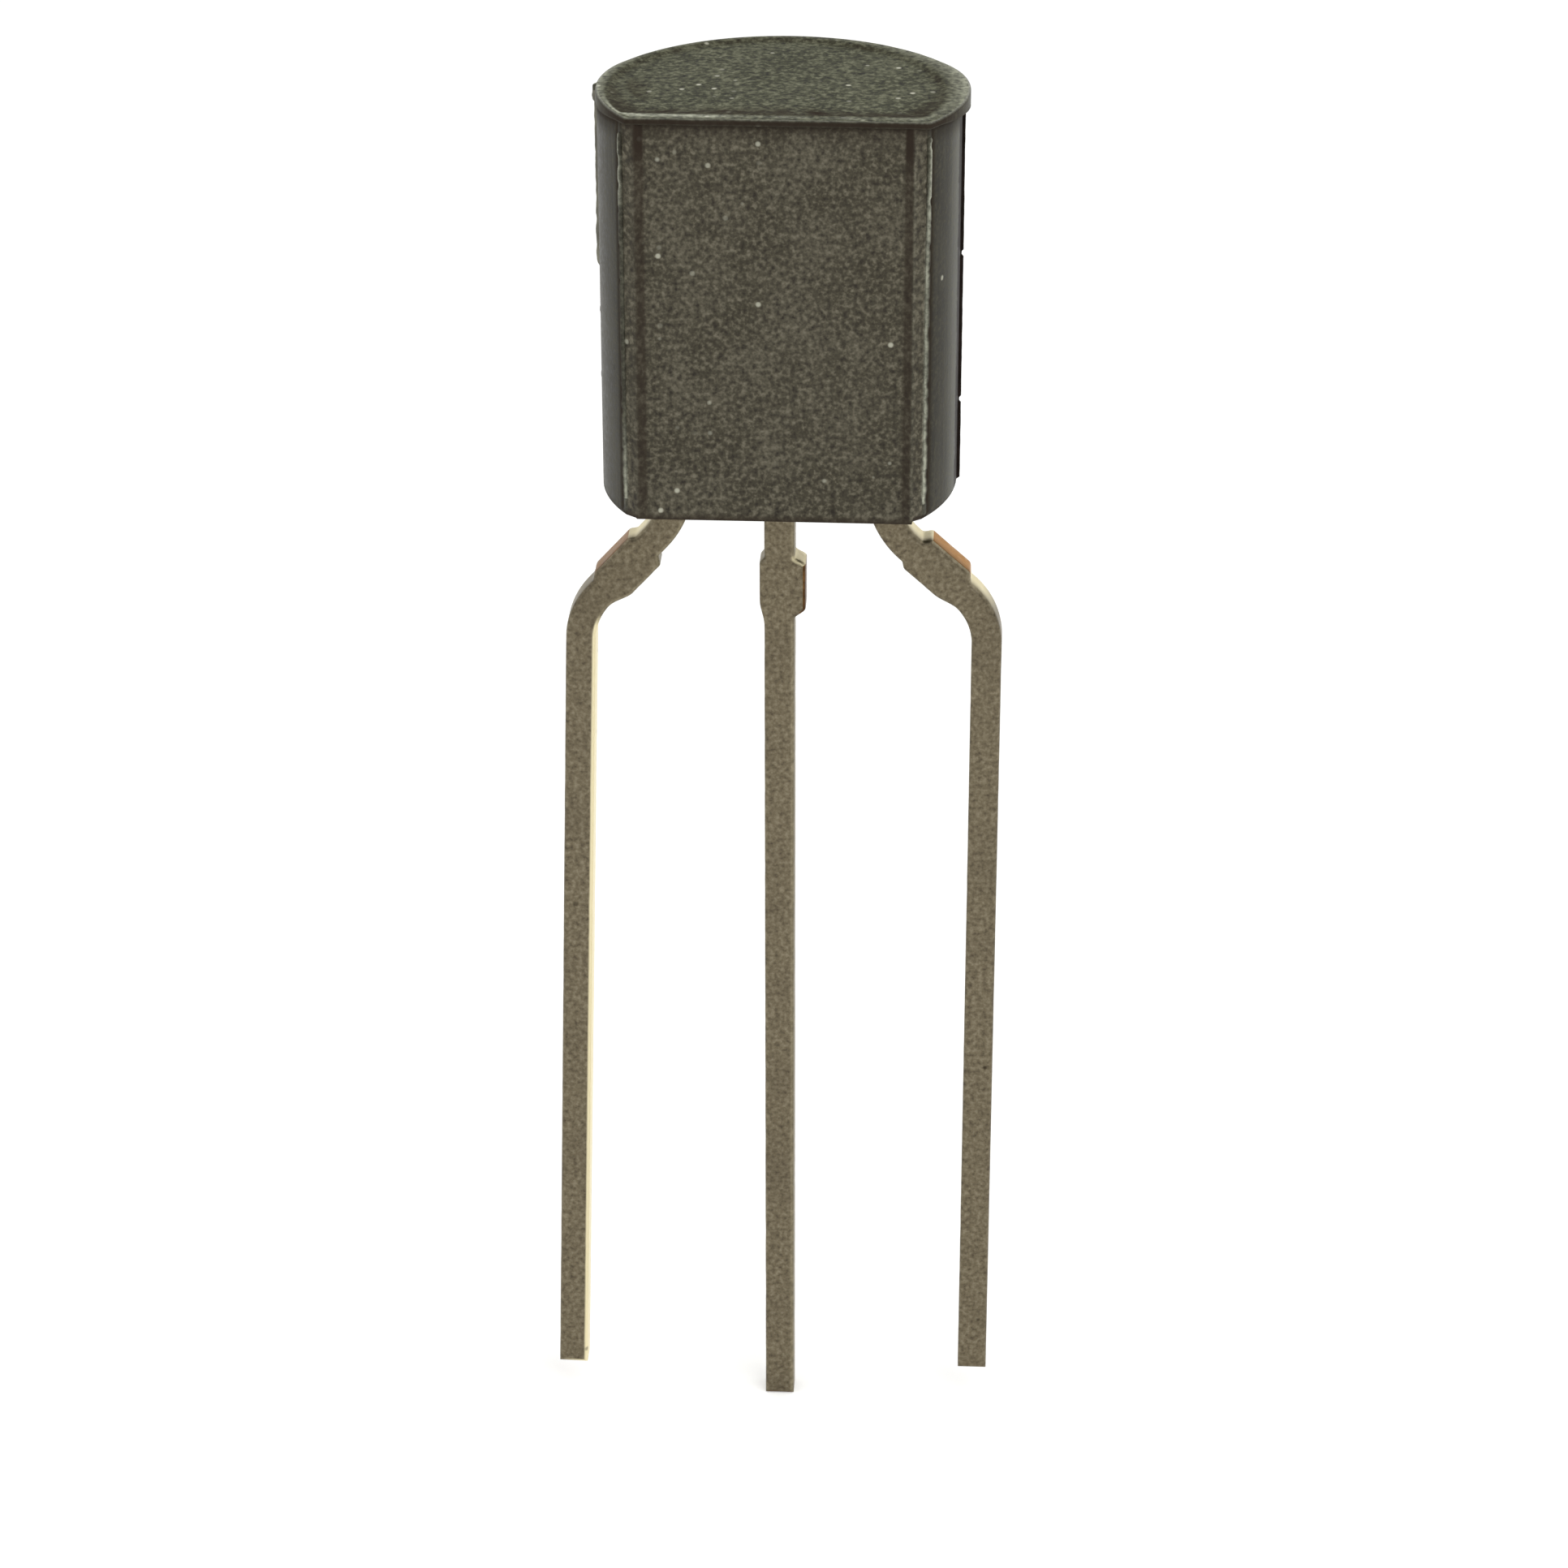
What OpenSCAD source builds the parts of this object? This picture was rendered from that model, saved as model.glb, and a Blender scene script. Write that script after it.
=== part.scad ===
// TO-92 transistor with its outer leads formed for a 2.5 mm board grid.
//
// The lead frame lies in the XZ plane, with the leads running down and the flat side of the
// case towards -Y. The origin is on the middle lead, at the height of the board that the
// formed leads seat on, so the board's top is the plane z = 0.

/* [Case] */
// Diameter of the round side of the case
case_d = 4.42; // [4.38:0.01:4.6]
// Height of the case
case_h = 5.13; // [5:0.01:5.3]
// Distance from the lead plane to the front of the case
front_depth = 1.36; // [1.3:0.01:1.4]
// Height of the underside of the case above the board
standoff = 2.2; // [2.1:0.05:3]
// Radius of the moulded edge along the back of the top face
back_edge_r = 0.35; // [0.2:0.01:0.45]
// How far forward that edge's own centre stands, which makes it fade out towards the sides
back_edge_fade = 0.25; // [0.2:0.01:0.5]
// Radius of the moulded edge around the underside
bottom_edge_r = 0.07; // [0.04:0.01:0.12]

/* [Cap] */
// How far the cap at the top stands out past the round side
cap_out = 0.055; // [0.045:0.005:0.08]
// Sideways offset of the cap, from the two halves of the mould not quite meeting
cap_shift = 0.04; // [0:0.01:0.04]
// Height of the cap at its front, where it makes the lip above the panel
lip_h = 0.08; // [0.05:0.01:0.12]
// Height of the cap at its sides and back
cap_side_h = 0.22; // [0.14:0.01:0.3]

/* [Front panel] */
// Width of the floor of the sunk panel
panel_w = 3.14; // [2.8:0.02:3.2]
// Depth of the panel below the front of the case
panel_sink = 0.06; // [0.03:0.01:0.1]
// Width of each sloping side wall of the panel
panel_wall = 0.105; // [0.06:0.005:0.12]
// Angle that the slanting land beside each wall falls back by
land_angle = 39; // [35:1:45]
// Radius of the bead where each land meets the round side
bead_r = 0.035; // [0.02:0.005:0.05]
// Distance from the top of the case to the top of each bead
bead_drop = 0.22; // [0.16:0.02:0.6]
// Distance from the underside to the foot of each bead
bead_foot = 0.22; // [0.22:0.01:0.6]

/* [Top dish] */
// Diameter of the shallow dish in the top face
dish_d = 4.1; // [3.6:0.02:4.1]
// Depth of the dish
dish_sink = 0.03; // [0.02:0.01:0.06]
// Sideways offset of the dish from the middle
dish_shift = -0.04; // [-0.08:0.01:0.08]
// Offset of the dish towards the front
dish_forward = 0.12; // [0.1:0.01:0.2]
// Thickness of the rim between the dish and the front
dish_rim = 0.08; // [0.06:0.01:0.2]

/* [Flash] */
// Thickness of the film left on the parting line
flash_t = 0.04; // [0.02:0.01:0.08]
// How far the film stands out on the right side
flash_right = 0.04; // [0.02:0.01:0.06]
// How far it stands out on the left side, where only the upper half of it is left
flash_left = 0.05; // [0.02:0.01:0.06]
// Radius of the scraps of film below that
flash_scrap_r = 0.25; // [0.15:0.05:0.4]

/* [Leads] */
// Width of a lead
lead_w = 0.385; // [0.37:0.005:0.44]
// Thickness of the lead frame
lead_t = 0.38; // [0.3:0.01:0.42]
// Distance between leads where they leave the case
exit_pitch = 1.27; // [1.24:0.01:1.3]
// Distance from the middle lead to the left leg at the board
left_pitch = 2.53; // [2.5:0.01:2.7]
// Distance from the middle lead to the right leg at the board
right_pitch = 2.63; // [2.5:0.01:2.7]
// Length of every lead outside the case before forming
cut_length = 13.5; // [6:0.1:20]
// Angle of the left lead's slanting stretch from the vertical
left_bend = 42; // [38:1:50]
// Angle of the right lead's slanting stretch from the vertical
right_bend = 48; // [38:1:50]
// Radius of the bend under the case
upper_bend_r = 1.15; // [1:0.01:1.25]
// Radius of the knee above the board
knee_r = 0.9; // [0.8:0.01:1]
// Angle that the left leg splays outwards by
left_splay = 1.6; // [0:0.1:3]
// Angle that the right leg splays outwards by
right_splay = 0; // [0:0.1:3]

/* [Tie-bar stubs] */
// Distance along a lead from the case to the full width of its stubs
stub_start = 1.09; // [1:0.01:1.15]
// Height of the tie bar that was cut away
stub_h = 0.68; // [0.5:0.01:0.75]
// How far a stub stands out on the right of an outer lead
stub_right = 0.1; // [0.04:0.01:0.15]
// How far the stub on the right of the middle lead stands out
middle_stub_right = 0.14; // [0.04:0.01:0.18]
// How far a stub stands out on the left of a lead
stub_left = 0.06; // [0.02:0.01:0.12]
// Length of the short shoulder at the top of a stub
stub_shoulder = 0.09; // [0.05:0.01:0.1]
// Length of the long shoulder at the foot of a stub
stub_foot = 0.15; // [0.1:0.01:0.2]

/* [Lead frame inside the case] */
// Height of the collector flag above the underside of the case
flag_z = 2.15; // [2.05:0.05:2.25]
// Width of the collector flag
flag_w = 2.3; // [2.2:0.05:2.35]
// Height of the collector flag
flag_h = 2; // [1.7:0.1:2.2]
// Diameter of the locking hole in the flag
lock_hole_d = 0.5; // [0.3:0.05:0.55]
// Depth of the locking notches in a stem's edges
lock_notch = 0.07; // [0.04:0.01:0.09]
// Width of the head of the base lead
base_head_w = 0.9; // [0.7:0.05:1]
// Height of the head of the base lead
base_head_h = 0.62; // [0.5:0.02:0.7]
// Width of the head of the emitter lead
emitter_head_w = 0.7; // [0.6:0.05:0.75]
// Height of the head of the emitter lead
emitter_head_h = 1.25; // [0.9:0.05:1.4]
// Gap between neighbouring parts of the frame
frame_gap = 0.3; // [0.25:0.01:0.32]
// Radius of the frame's corners inside the case
frame_corner_r = 0.1; // [0.05:0.01:0.12]

/* [Chip] */
// Side of the silicon die
die_side = 0.5; // [0.4:0.05:0.6]
// Thickness of the silicon die
die_t = 0.2; // [0.12:0.01:0.25]
// Thickness of the layer that fixes the die
attach_t = 0.025; // [0.02:0.005:0.04]
// How far that layer shows around the die
attach_margin = 0.04; // [0.02:0.01:0.08]
// Diameter of a bond wire
wire_d = 0.05; // [0.04:0.005:0.06]
// Diameter of the ball that starts a bond wire
ball_d = 0.12; // [0.1:0.01:0.14]
// Height of a bond wire's loop
loop_h = 0.32; // [0.26:0.02:0.5]

/* [Hidden] */
$fn = 96;

epoxy_colour = "#4b4e4c";
tin_colour = "#8f887c";
silicon_colour = "#5d6470";
attach_colour = "#a9a9a6";
wire_colour = "#d8ab45";

// Cuts run this far past the surface that they open.
over = 0.5;

// The case in plan. Each land starts at the crest of its panel wall and runs back until it
// meets the round side, land_run further on.
case_r = case_d / 2;
case_bottom = standoff;
case_top = standoff + case_h;
crest_x = panel_w / 2 + panel_wall;
land_along = crest_x * cos(land_angle) - front_depth * sin(land_angle);
land_run = sqrt(land_along ^ 2 + case_r ^ 2 - crest_x ^ 2 - front_depth ^ 2) - land_along;
bead_x = crest_x + land_run * cos(land_angle);
bead_y = -front_depth + land_run * sin(land_angle);

// Every bend is drawn in this many short steps.
bend_steps = 12;

// The rounding of the upper back edge stands this far outside the cap, so that it crosses the
// cap's faces.
arc_cross = 0.01;

// The cap in plan, and the level part of its underside behind the front.
cap_r = case_r + cap_out;
lip_depth = 0.2;

// The film on the parting line. Each drop is measured down from the top of the case.
flash_root = 0.12;
film_top = case_top - cap_side_h / 2;
right_film_bottom = case_bottom + 0.03;
right_nick_drops = [2.12, 4.03];
nick_h = 0.07;
left_film_drop = 2.33;
scrap_drops = [2.9, 3.75];
scrap_out = 0.015;
ear_drop = 0.17;
ear_out = 0.07;
ear_r = 0.08;

// The four corners of a stub: [distance along the lead, share of the full stub].
stub_corners = [
    [stub_start - stub_shoulder, 0],
    [stub_start, 1],
    [stub_start + stub_h, 1],
    [stub_start + stub_h + stub_foot, 0]
];

// The lead frame inside the case.
flag_overhang = 0.12;
flag_bottom = case_bottom + flag_z;
flag_right = exit_pitch + lead_w / 2 + flag_overhang;
flag_left = flag_right - flag_w;
flag_top = flag_bottom + flag_h;
lock_hole_inset = 0.45;
base_head_top = flag_bottom - frame_gap;
emitter_head_right = flag_left - frame_gap;
emitter_head_left = emitter_head_right - emitter_head_w;
emitter_head_rise = 1.1;
emitter_head_top = flag_bottom + emitter_head_rise;
notch_rise = 0.55;

// The chip and its bond wires.
die_x = 0.1;
die_z = flag_bottom + flag_h / 2;
frame_face_y = -lead_t / 2;
die_back_y = frame_face_y - attach_t;
die_face_y = die_back_y - die_t;
bond_pad_offset = die_side / 4;
emitter_bond_drop = 0.5;
emitter_bond = [
    [die_x - bond_pad_offset, die_face_y, die_z + bond_pad_offset / 2],
    [
        (emitter_head_left + emitter_head_right) / 2,
        frame_face_y,
        emitter_head_top - emitter_bond_drop
    ]
];
base_bond = [
    [die_x + bond_pad_offset / 4, die_face_y, die_z - bond_pad_offset],
    [0, frame_face_y, base_head_top - base_head_h / 2]
];
wire_sides = 8;
wire_rings = 19;
stitch_share = 1.5;
ball_neck_share = 0.84;

// ---------- The leads' middle lines ----------
//
// A path is a list of stretches, each [length, turn]. It starts at the underside of the case,
// heading straight down. A stretch with a turn is an arc, and a positive turn is towards +x.

function arc_length(radius, angle) = radius * abs(angle) * PI / 180;

// The path of an outer lead: a bend under the case, a slant, a knee, and a leg.
function outer_path(side, bend, pitch, splay) =
    let (
        upper = arc_length(upper_bend_r, bend),
        knee = arc_length(knee_r, bend - splay),
        upper_reach = upper_bend_r * (1 - cos(bend)),
        knee_reach = knee_r * (cos(splay) - cos(bend)),
        slant = (pitch - exit_pitch - upper_reach - knee_reach) / sin(bend)
    )
    [
        [upper, side * bend],
        [slant, 0],
        [knee, side * (splay - bend)],
        [cut_length - upper - slant - knee, 0]
    ];

// Where a stretch that starts at a point with a heading ends.
function stretch_end(at, heading, length, turn) =
    turn == 0
    ? at + length * [sin(heading), -cos(heading)]
    : at + length * 180 / (PI * turn)
        * [cos(heading) - cos(heading + turn), sin(heading) - sin(heading + turn)];

// The point and the heading at a distance along a path.
function walk(path, distance, at, heading = 0, stretch = 0) =
    let (
        length = path[stretch][0],
        turn = path[stretch][1],
        gone = min(distance, length),
        turned = turn * gone / length,
        here = stretch_end(at, heading, gone, turned)
    )
    distance <= length || stretch == len(path) - 1
    ? [here, heading + turned]
    : walk(path, distance - length, here, heading + turned, stretch + 1);

// ---------- The leads' edges ----------
//
// An outline has one corner on each edge at every distance in a list. The distances are closest
// along the bends, and the stubs that the trimming die left of the tie bar add their corners.

stub_distances = [for (corner = stub_corners) corner[0]];
stub_top = stub_distances[0];
stub_end = stub_distances[len(stub_distances) - 1];

// The distances along a bend, from one to another.
function bend_distances(from, to) = [
    for (step = [0 : bend_steps]) from + (to - from) * step / bend_steps
];

// The distances along an outer lead, in order.
function outer_distances(path) =
    let (
        upper_end = path[0][0],
        knee_start = upper_end + path[1][0],
        knee_end = knee_start + path[2][0]
    )
    concat(
        [for (distance = bend_distances(0, upper_end)) if (distance < stub_top) distance],
        stub_distances,
        [for (distance = bend_distances(knee_start, knee_end)) if (distance > stub_end) distance],
        [cut_length]
    );

// A point on one edge of a lead: side -1 is the left edge and side 1 the right.
function edge_point(path, start, distance, side, stub_out) =
    let (
        place = walk(path, distance, start),
        heading = place[1],
        half = lead_w / 2 + stub_out * lookup(distance, stub_corners)
    )
    place[0] + side * half * [cos(heading), sin(heading)];

// The flat outline of a lead outside the case.
module lead_outline(x, path, distances, right_stub = stub_right) {
    start = [x, case_bottom];
    last = len(distances) - 1;
    polygon(concat(
        [for (k = [0 : last]) edge_point(path, start, distances[k], -1, stub_left)],
        [for (k = [last : -1 : 0]) edge_point(path, start, distances[k], 1, right_stub)]
    ));
}

module left_formed_lead() {
    path = outer_path(-1, left_bend, left_pitch, left_splay);
    lead_outline(-exit_pitch, path, outer_distances(path));
}

module right_formed_lead() {
    path = outer_path(1, right_bend, right_pitch, right_splay);
    lead_outline(exit_pitch, path, outer_distances(path));
}

module middle_lead() {
    distances = concat([0], stub_distances, [cut_length]);
    lead_outline(0, [[cut_length, 0]], distances, middle_stub_right);
}

// ---------- The lead frame inside the case: x across, y up ----------

// A rectangle with round corners, between two opposite corners.
module rounded_plate(left, bottom, right, top) {
    radius = frame_corner_r;
    translate([left + radius, bottom])
        square([right - left - 2 * radius, top - bottom]);
    translate([left, bottom + radius])
        square([right - left, top - bottom - 2 * radius]);
    for (x = [left + radius, right - radius], y = [bottom + radius, top - radius])
        translate([x, y])
            circle(r = radius);
}

// A lead's stem inside the case, with the two notches that lock it in the epoxy.
module stem(x, top) {
    difference() {
        translate([x - lead_w / 2, case_bottom])
            square([lead_w, top - case_bottom]);
        for (side = [-1, 1])
            translate([x + side * (lead_w / 2 + lock_notch), case_bottom + notch_rise])
                circle(r = 2 * lock_notch);
    }
}

module emitter_anchor() {
    stem(-exit_pitch, emitter_head_top - emitter_head_h / 2);
    rounded_plate(
        emitter_head_left,
        emitter_head_top - emitter_head_h,
        emitter_head_right,
        emitter_head_top
    );
}

module base_anchor() {
    stem(0, base_head_top - base_head_h / 2);
    rounded_plate(-base_head_w / 2, base_head_top - base_head_h, base_head_w / 2, base_head_top);
}

module collector_anchor() {
    stem(exit_pitch, flag_bottom + flag_h / 2);
    difference() {
        rounded_plate(flag_left, flag_bottom, flag_right, flag_top);
        translate([flag_right - lock_hole_inset, flag_top - lock_hole_inset])
            circle(d = lock_hole_d);
    }
}

// The film on the right: straight, nicked twice, with a short slope at its lower end.
module right_film() {
    difference() {
        polygon([
            [case_r - flash_root, film_top],
            [case_r - flash_root, right_film_bottom],
            [case_r, right_film_bottom],
            [case_r + flash_right, right_film_bottom + flash_right],
            [case_r + flash_right, film_top]
        ]);
        for (drop = right_nick_drops)
            translate([case_r + flash_right / 2, case_top - drop])
                square([flash_right, nick_h]);
    }
}

// The film on the left: torn off half-way down, with two scraps below and an ear at the cap.
module left_film() {
    end = case_top - left_film_drop;
    polygon([
        [flash_root - case_r, film_top],
        [-case_r - flash_left, film_top],
        [-case_r - flash_left, end + flash_left],
        [-case_r, end],
        [flash_root - case_r, end]
    ]);
    for (drop = scrap_drops)
        translate([flash_scrap_r - case_r - scrap_out, case_top - drop])
            circle(r = flash_scrap_r);
    translate([ear_r - case_r - ear_out, case_top - ear_drop])
        circle(r = ear_r);
}

// ---------- The case ----------

// A drum that stands on its round lower edge.
module drum(radius, height, edge_r) {
    rotate_extrude() {
        square([radius - edge_r, height]);
        translate([0, edge_r])
            square([radius, height - edge_r]);
        translate([radius - edge_r, edge_r])
            circle(r = edge_r);
    }
}

// The front of the body in plan, with a land at each corner, carried on past the round side.
module front_plan() {
    wide = case_d;
    land_end = -front_depth + (wide - crest_x) * tan(land_angle);
    polygon([
        [wide, wide],
        [-wide, wide],
        [-wide, land_end],
        [-crest_x, -front_depth],
        [crest_x, -front_depth],
        [wide, land_end]
    ]);
}

// Plan of the cap, which keeps the full corners.
module cap_plan() {
    intersection() {
        translate([cap_shift, 0])
            circle(r = cap_r);
        translate([-case_d, -front_depth])
            square([2 * case_d, 2 * case_d]);
    }
}

// The cap from the side (y across, z up): its underside is level at the lip, then falls towards
// the middle.
module cap_section() {
    lip_z = case_top - lip_h;
    side_z = case_top - cap_side_h;
    polygon([
        [-front_depth - over, lip_z],
        [lip_depth - front_depth, lip_z],
        [0, side_z],
        [case_d, side_z],
        [case_d, case_top + over],
        [-front_depth - over, case_top + over]
    ]);
}

// Plan of the sunk panel, with its sloping side walls carried on past the front.
module panel_plan() {
    slope = panel_wall / panel_sink;
    floor_x = panel_w / 2;
    floor_y = panel_sink - front_depth;
    polygon([
        [floor_x, floor_y],
        [-floor_x, floor_y],
        [-floor_x - slope * (panel_sink + over), floor_y - panel_sink - over],
        [floor_x + slope * (panel_sink + over), floor_y - panel_sink - over]
    ]);
}

// The body, which ends inside the cap.
module body_form() {
    intersection() {
        translate([0, 0, case_bottom])
            drum(case_r, case_h - lip_h / 2, bottom_edge_r);
        translate([0, 0, case_bottom - over])
            linear_extrude(height = case_h + 2 * over)
                front_plan();
    }
}

module cap_form() {
    intersection() {
        translate([0, 0, case_top - cap_side_h - over])
            linear_extrude(height = cap_side_h + over)
                cap_plan();
        rotate([90, 0, 90])
            linear_extrude(height = 2 * case_d, center = true)
                cap_section();
    }
}

// The outer form of the case, solid all through.
module case_form() {
    intersection() {
        union() {
            body_form();
            cap_form();
        }
        translate([cap_shift, -back_edge_fade, case_top + arc_cross])
            rotate([180, 0, 0])
                drum(cap_r + back_edge_fade + arc_cross, case_h + over, back_edge_r);
    }
    for (side = [-1, 1])
        translate([side * bead_x, bead_y, case_bottom + bead_foot])
            cylinder(r = bead_r, h = case_h - bead_foot - bead_drop);
    rotate([90, 0, 0])
        linear_extrude(height = flash_t, center = true) {
            right_film();
            left_film();
        }
}

module front_panel_cut() {
    translate([0, 0, case_bottom - over])
        linear_extrude(height = case_h - lip_h + over)
            panel_plan();
}

module top_dish_cut() {
    translate([0, 0, case_top - dish_sink])
        intersection() {
            translate([dish_shift, -dish_forward, 0])
                cylinder(d = dish_d, h = over);
            translate([-case_d, dish_rim - front_depth, -over])
                cube([2 * case_d, case_d, 3 * over]);
        }
}

// ---------- The chip's bond wires ----------

function unit(v) = v / norm(v);

// A point on a bond wire's middle line: 0 degrees at the ball, 180 at the stitch.
function loop_point(bond, turn) =
    bond[0] + (bond[1] - bond[0]) * (1 - cos(turn)) / 2 - [0, loop_h * sin(turn), 0];

// The way that the middle line runs there.
function loop_heading(bond, turn) =
    unit((bond[1] - bond[0]) * sin(turn) / 2 - [0, loop_h * cos(turn), 0]);

// Radius of the wire at each ring: a ball, a thin loop, then a flattened stitch.
function ring_radius(ring) =
    ring == 0 ? ball_d / 2
    : ring == 1 ? ball_neck_share * ball_d / 2
    : ring == wire_rings - 1 ? stitch_share * wire_d / 2
    : wire_d / 2;

// The corners of one ring around the middle line.
function ring_points(bond, ring) =
    let (
        turn = 180 * ring / (wire_rings - 1),
        middle = loop_point(bond, turn),
        across = unit(cross([0, 1, 0], bond[1] - bond[0])),
        upward = cross(loop_heading(bond, turn), across)
    )
    [
        for (corner = [0 : wire_sides - 1])
            middle + ring_radius(ring) * (cos(360 * corner / wire_sides) * across
                + sin(360 * corner / wire_sides) * upward)
    ];

module bond_wire(bond) {
    last = (wire_rings - 1) * wire_sides;
    ends = [
        [for (corner = [0 : wire_sides - 1]) corner],
        [for (corner = [wire_sides - 1 : -1 : 0]) last + corner]
    ];
    sides = [
        for (ring = [0 : wire_rings - 2], corner = [0 : wire_sides - 1])
            let (
                here = ring * wire_sides,
                next = (corner + 1) % wire_sides
            )
            [here + corner, here + wire_sides + corner, here + wire_sides + next, here + next]
    ];
    polyhedron(
        points = [for (ring = [0 : wire_rings - 1]) each ring_points(bond, ring)],
        faces = concat(ends, sides)
    );
}

// ---------- The pieces ----------

// Gives a flat shape of the lead frame its thickness, upright in the lead plane.
module lead_sheet() {
    rotate([90, 0, 0])
        linear_extrude(height = lead_t, center = true)
            children();
}

module epoxy_body() {
    color(epoxy_colour)
        difference() {
            case_form();
            front_panel_cut();
            top_dish_cut();
            lead_sheet() {
                emitter_anchor();
                base_anchor();
                collector_anchor();
                for (x = [-exit_pitch, 0, exit_pitch])
                    translate([x - lead_w / 2, case_bottom - over])
                        square([lead_w, over]);
            }
            die_solid();
            attach_solid();
            bond_wire(emitter_bond);
            bond_wire(base_bond);
        }
}

module emitter_lead() {
    color(tin_colour)
        lead_sheet() {
            emitter_anchor();
            left_formed_lead();
        }
}

module base_lead() {
    color(tin_colour)
        lead_sheet() {
            base_anchor();
            middle_lead();
        }
}

module collector_lead() {
    color(tin_colour)
        lead_sheet() {
            collector_anchor();
            right_formed_lead();
        }
}

module die_solid() {
    translate([die_x - die_side / 2, die_face_y, die_z - die_side / 2])
        cube([die_side, die_t, die_side]);
}

module silicon_die() {
    color(silicon_colour)
        die_solid();
}

module attach_solid() {
    side = die_side + 2 * attach_margin;
    translate([die_x - side / 2, die_back_y, die_z - side / 2])
        cube([side, attach_t, side]);
}

module die_attach() {
    color(attach_colour)
        attach_solid();
}

module emitter_wire() {
    color(wire_colour)
        bond_wire(emitter_bond);
}

module base_wire() {
    color(wire_colour)
        bond_wire(base_bond);
}

epoxy_body();
emitter_lead();
base_lead();
collector_lead();
silicon_die();
die_attach();
emitter_wire();
base_wire();
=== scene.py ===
"""Finished look of a TO-92 transistor with formed leads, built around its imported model.

The classes hold their sizes in millimetres, and meshes are written in metres. The frame is
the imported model's: the leads run down, the flat side of the case faces -Y, and the plane
z = 0 is the board that the formed leads seat on.
"""

import logging
import math
from collections.abc import Sequence
from dataclasses import dataclass, field
from enum import Enum, IntEnum

import bmesh
import bpy
import numpy as np
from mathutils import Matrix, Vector, noise
from mathutils.geometry import tessellate_polygon


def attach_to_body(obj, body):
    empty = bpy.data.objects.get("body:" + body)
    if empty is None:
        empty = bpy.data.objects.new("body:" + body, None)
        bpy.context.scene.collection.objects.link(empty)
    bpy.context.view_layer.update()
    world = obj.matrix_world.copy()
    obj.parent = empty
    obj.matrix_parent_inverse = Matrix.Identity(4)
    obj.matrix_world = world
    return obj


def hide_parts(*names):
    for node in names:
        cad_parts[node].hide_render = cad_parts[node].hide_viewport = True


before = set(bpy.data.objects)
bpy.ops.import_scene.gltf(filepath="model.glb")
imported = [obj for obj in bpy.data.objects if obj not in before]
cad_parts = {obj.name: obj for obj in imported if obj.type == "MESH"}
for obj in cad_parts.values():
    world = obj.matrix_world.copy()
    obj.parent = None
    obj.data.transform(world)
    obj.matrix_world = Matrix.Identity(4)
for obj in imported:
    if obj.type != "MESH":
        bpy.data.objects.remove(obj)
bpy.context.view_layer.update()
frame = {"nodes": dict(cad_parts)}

MM = 0.001
LOG = logging.getLogger("transistor")
# Steps between the rows of the noise field that neighbouring seeds read.
SEED_STEPS = (7.31, 3.17)

Numbers = float | np.ndarray
Knots = tuple[tuple[float, float], ...]
Tree = bpy.types.NodeTree
Socket = bpy.types.NodeSocket
# What may feed a socket: an output socket, or a node for its first output.
Feed = bpy.types.NodeSocket | bpy.types.Node
Material = bpy.types.Material


# ---------- Small helpers ----------


def linear(hex_colour: str) -> tuple[float, float, float, float]:
    """Turns an sRGB colour into the linear values that a shader takes.

    Args:
        hex_colour: Colour as #rrggbb.

    Returns:
        Linear red, green, blue and an alpha of 1.
    """
    parts = [int(hex_colour[k:k + 2], 16) / 255 for k in (1, 3, 5)]
    lit = [v / 12.92 if v <= 0.04045 else ((v + 0.055) / 1.055) ** 2.4 for v in parts]
    return (lit[0], lit[1], lit[2], 1.0)


def per_mm(size: float) -> float:
    """Texture scale at which a pattern repeats about every size millimetres."""
    return 1 / (size * MM)


def wander(place: Numbers, size: float, seed: Numbers) -> np.ndarray:
    """Smooth seeded wobble along a line.

    Args:
        place: Position along the line, in mm.
        size: Length of one wobble, in mm.
        seed: Picks the wobble.

    Returns:
        Values between about -1 and 1.
    """
    at, seeds = np.broadcast_arrays(np.divide(place, size), seed)
    wobbles = [
        noise.noise(Vector((p, s * SEED_STEPS[0], s * SEED_STEPS[1])))
        for p, s in zip(at.flat, seeds.flat)
    ]
    return np.reshape(wobbles, at.shape)


def smooth_step(value: Numbers, low: float, high: float) -> Numbers:
    """Rises smoothly from 0 at low to 1 at high."""
    t = np.clip((value - low) / (high - low), 0.0, 1.0)
    return t * t * (3 - 2 * t)


def between(knots: Knots, place: float) -> float:
    """Reads a value off the line through knots of place and value."""
    return float(np.interp(place, *zip(*knots)))


def arc(radius: float, turns: np.ndarray) -> np.ndarray:
    """Points of a circle about the origin, one row to each angle in radians."""
    return radius * np.stack([np.cos(turns), np.sin(turns)], 1)


def bezier(a: np.ndarray, b: np.ndarray, c: np.ndarray, count: int) -> np.ndarray:
    """Rounds the corner b between a and c.

    Args:
        a: Point before the corner.
        b: The corner.
        c: Point after the corner.
        count: How many points to give, ending on c and leaving a out.

    Returns:
        The points, one to a row.
    """
    t = np.arange(1, count + 1)[:, None] / count
    return (1 - t) ** 2 * a + 2 * t * (1 - t) * b + t * t * c


def line(a: np.ndarray, b: np.ndarray, count: int) -> np.ndarray:
    """Points from a to b, evenly spaced, ending on b and leaving a out."""
    t = np.arange(1, count + 1)[:, None] / count
    return a + (b - a) * t


def unit(rows: np.ndarray) -> np.ndarray:
    """Brings each row to length 1."""
    return rows / np.linalg.norm(rows, axis=-1)[..., None]


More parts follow.
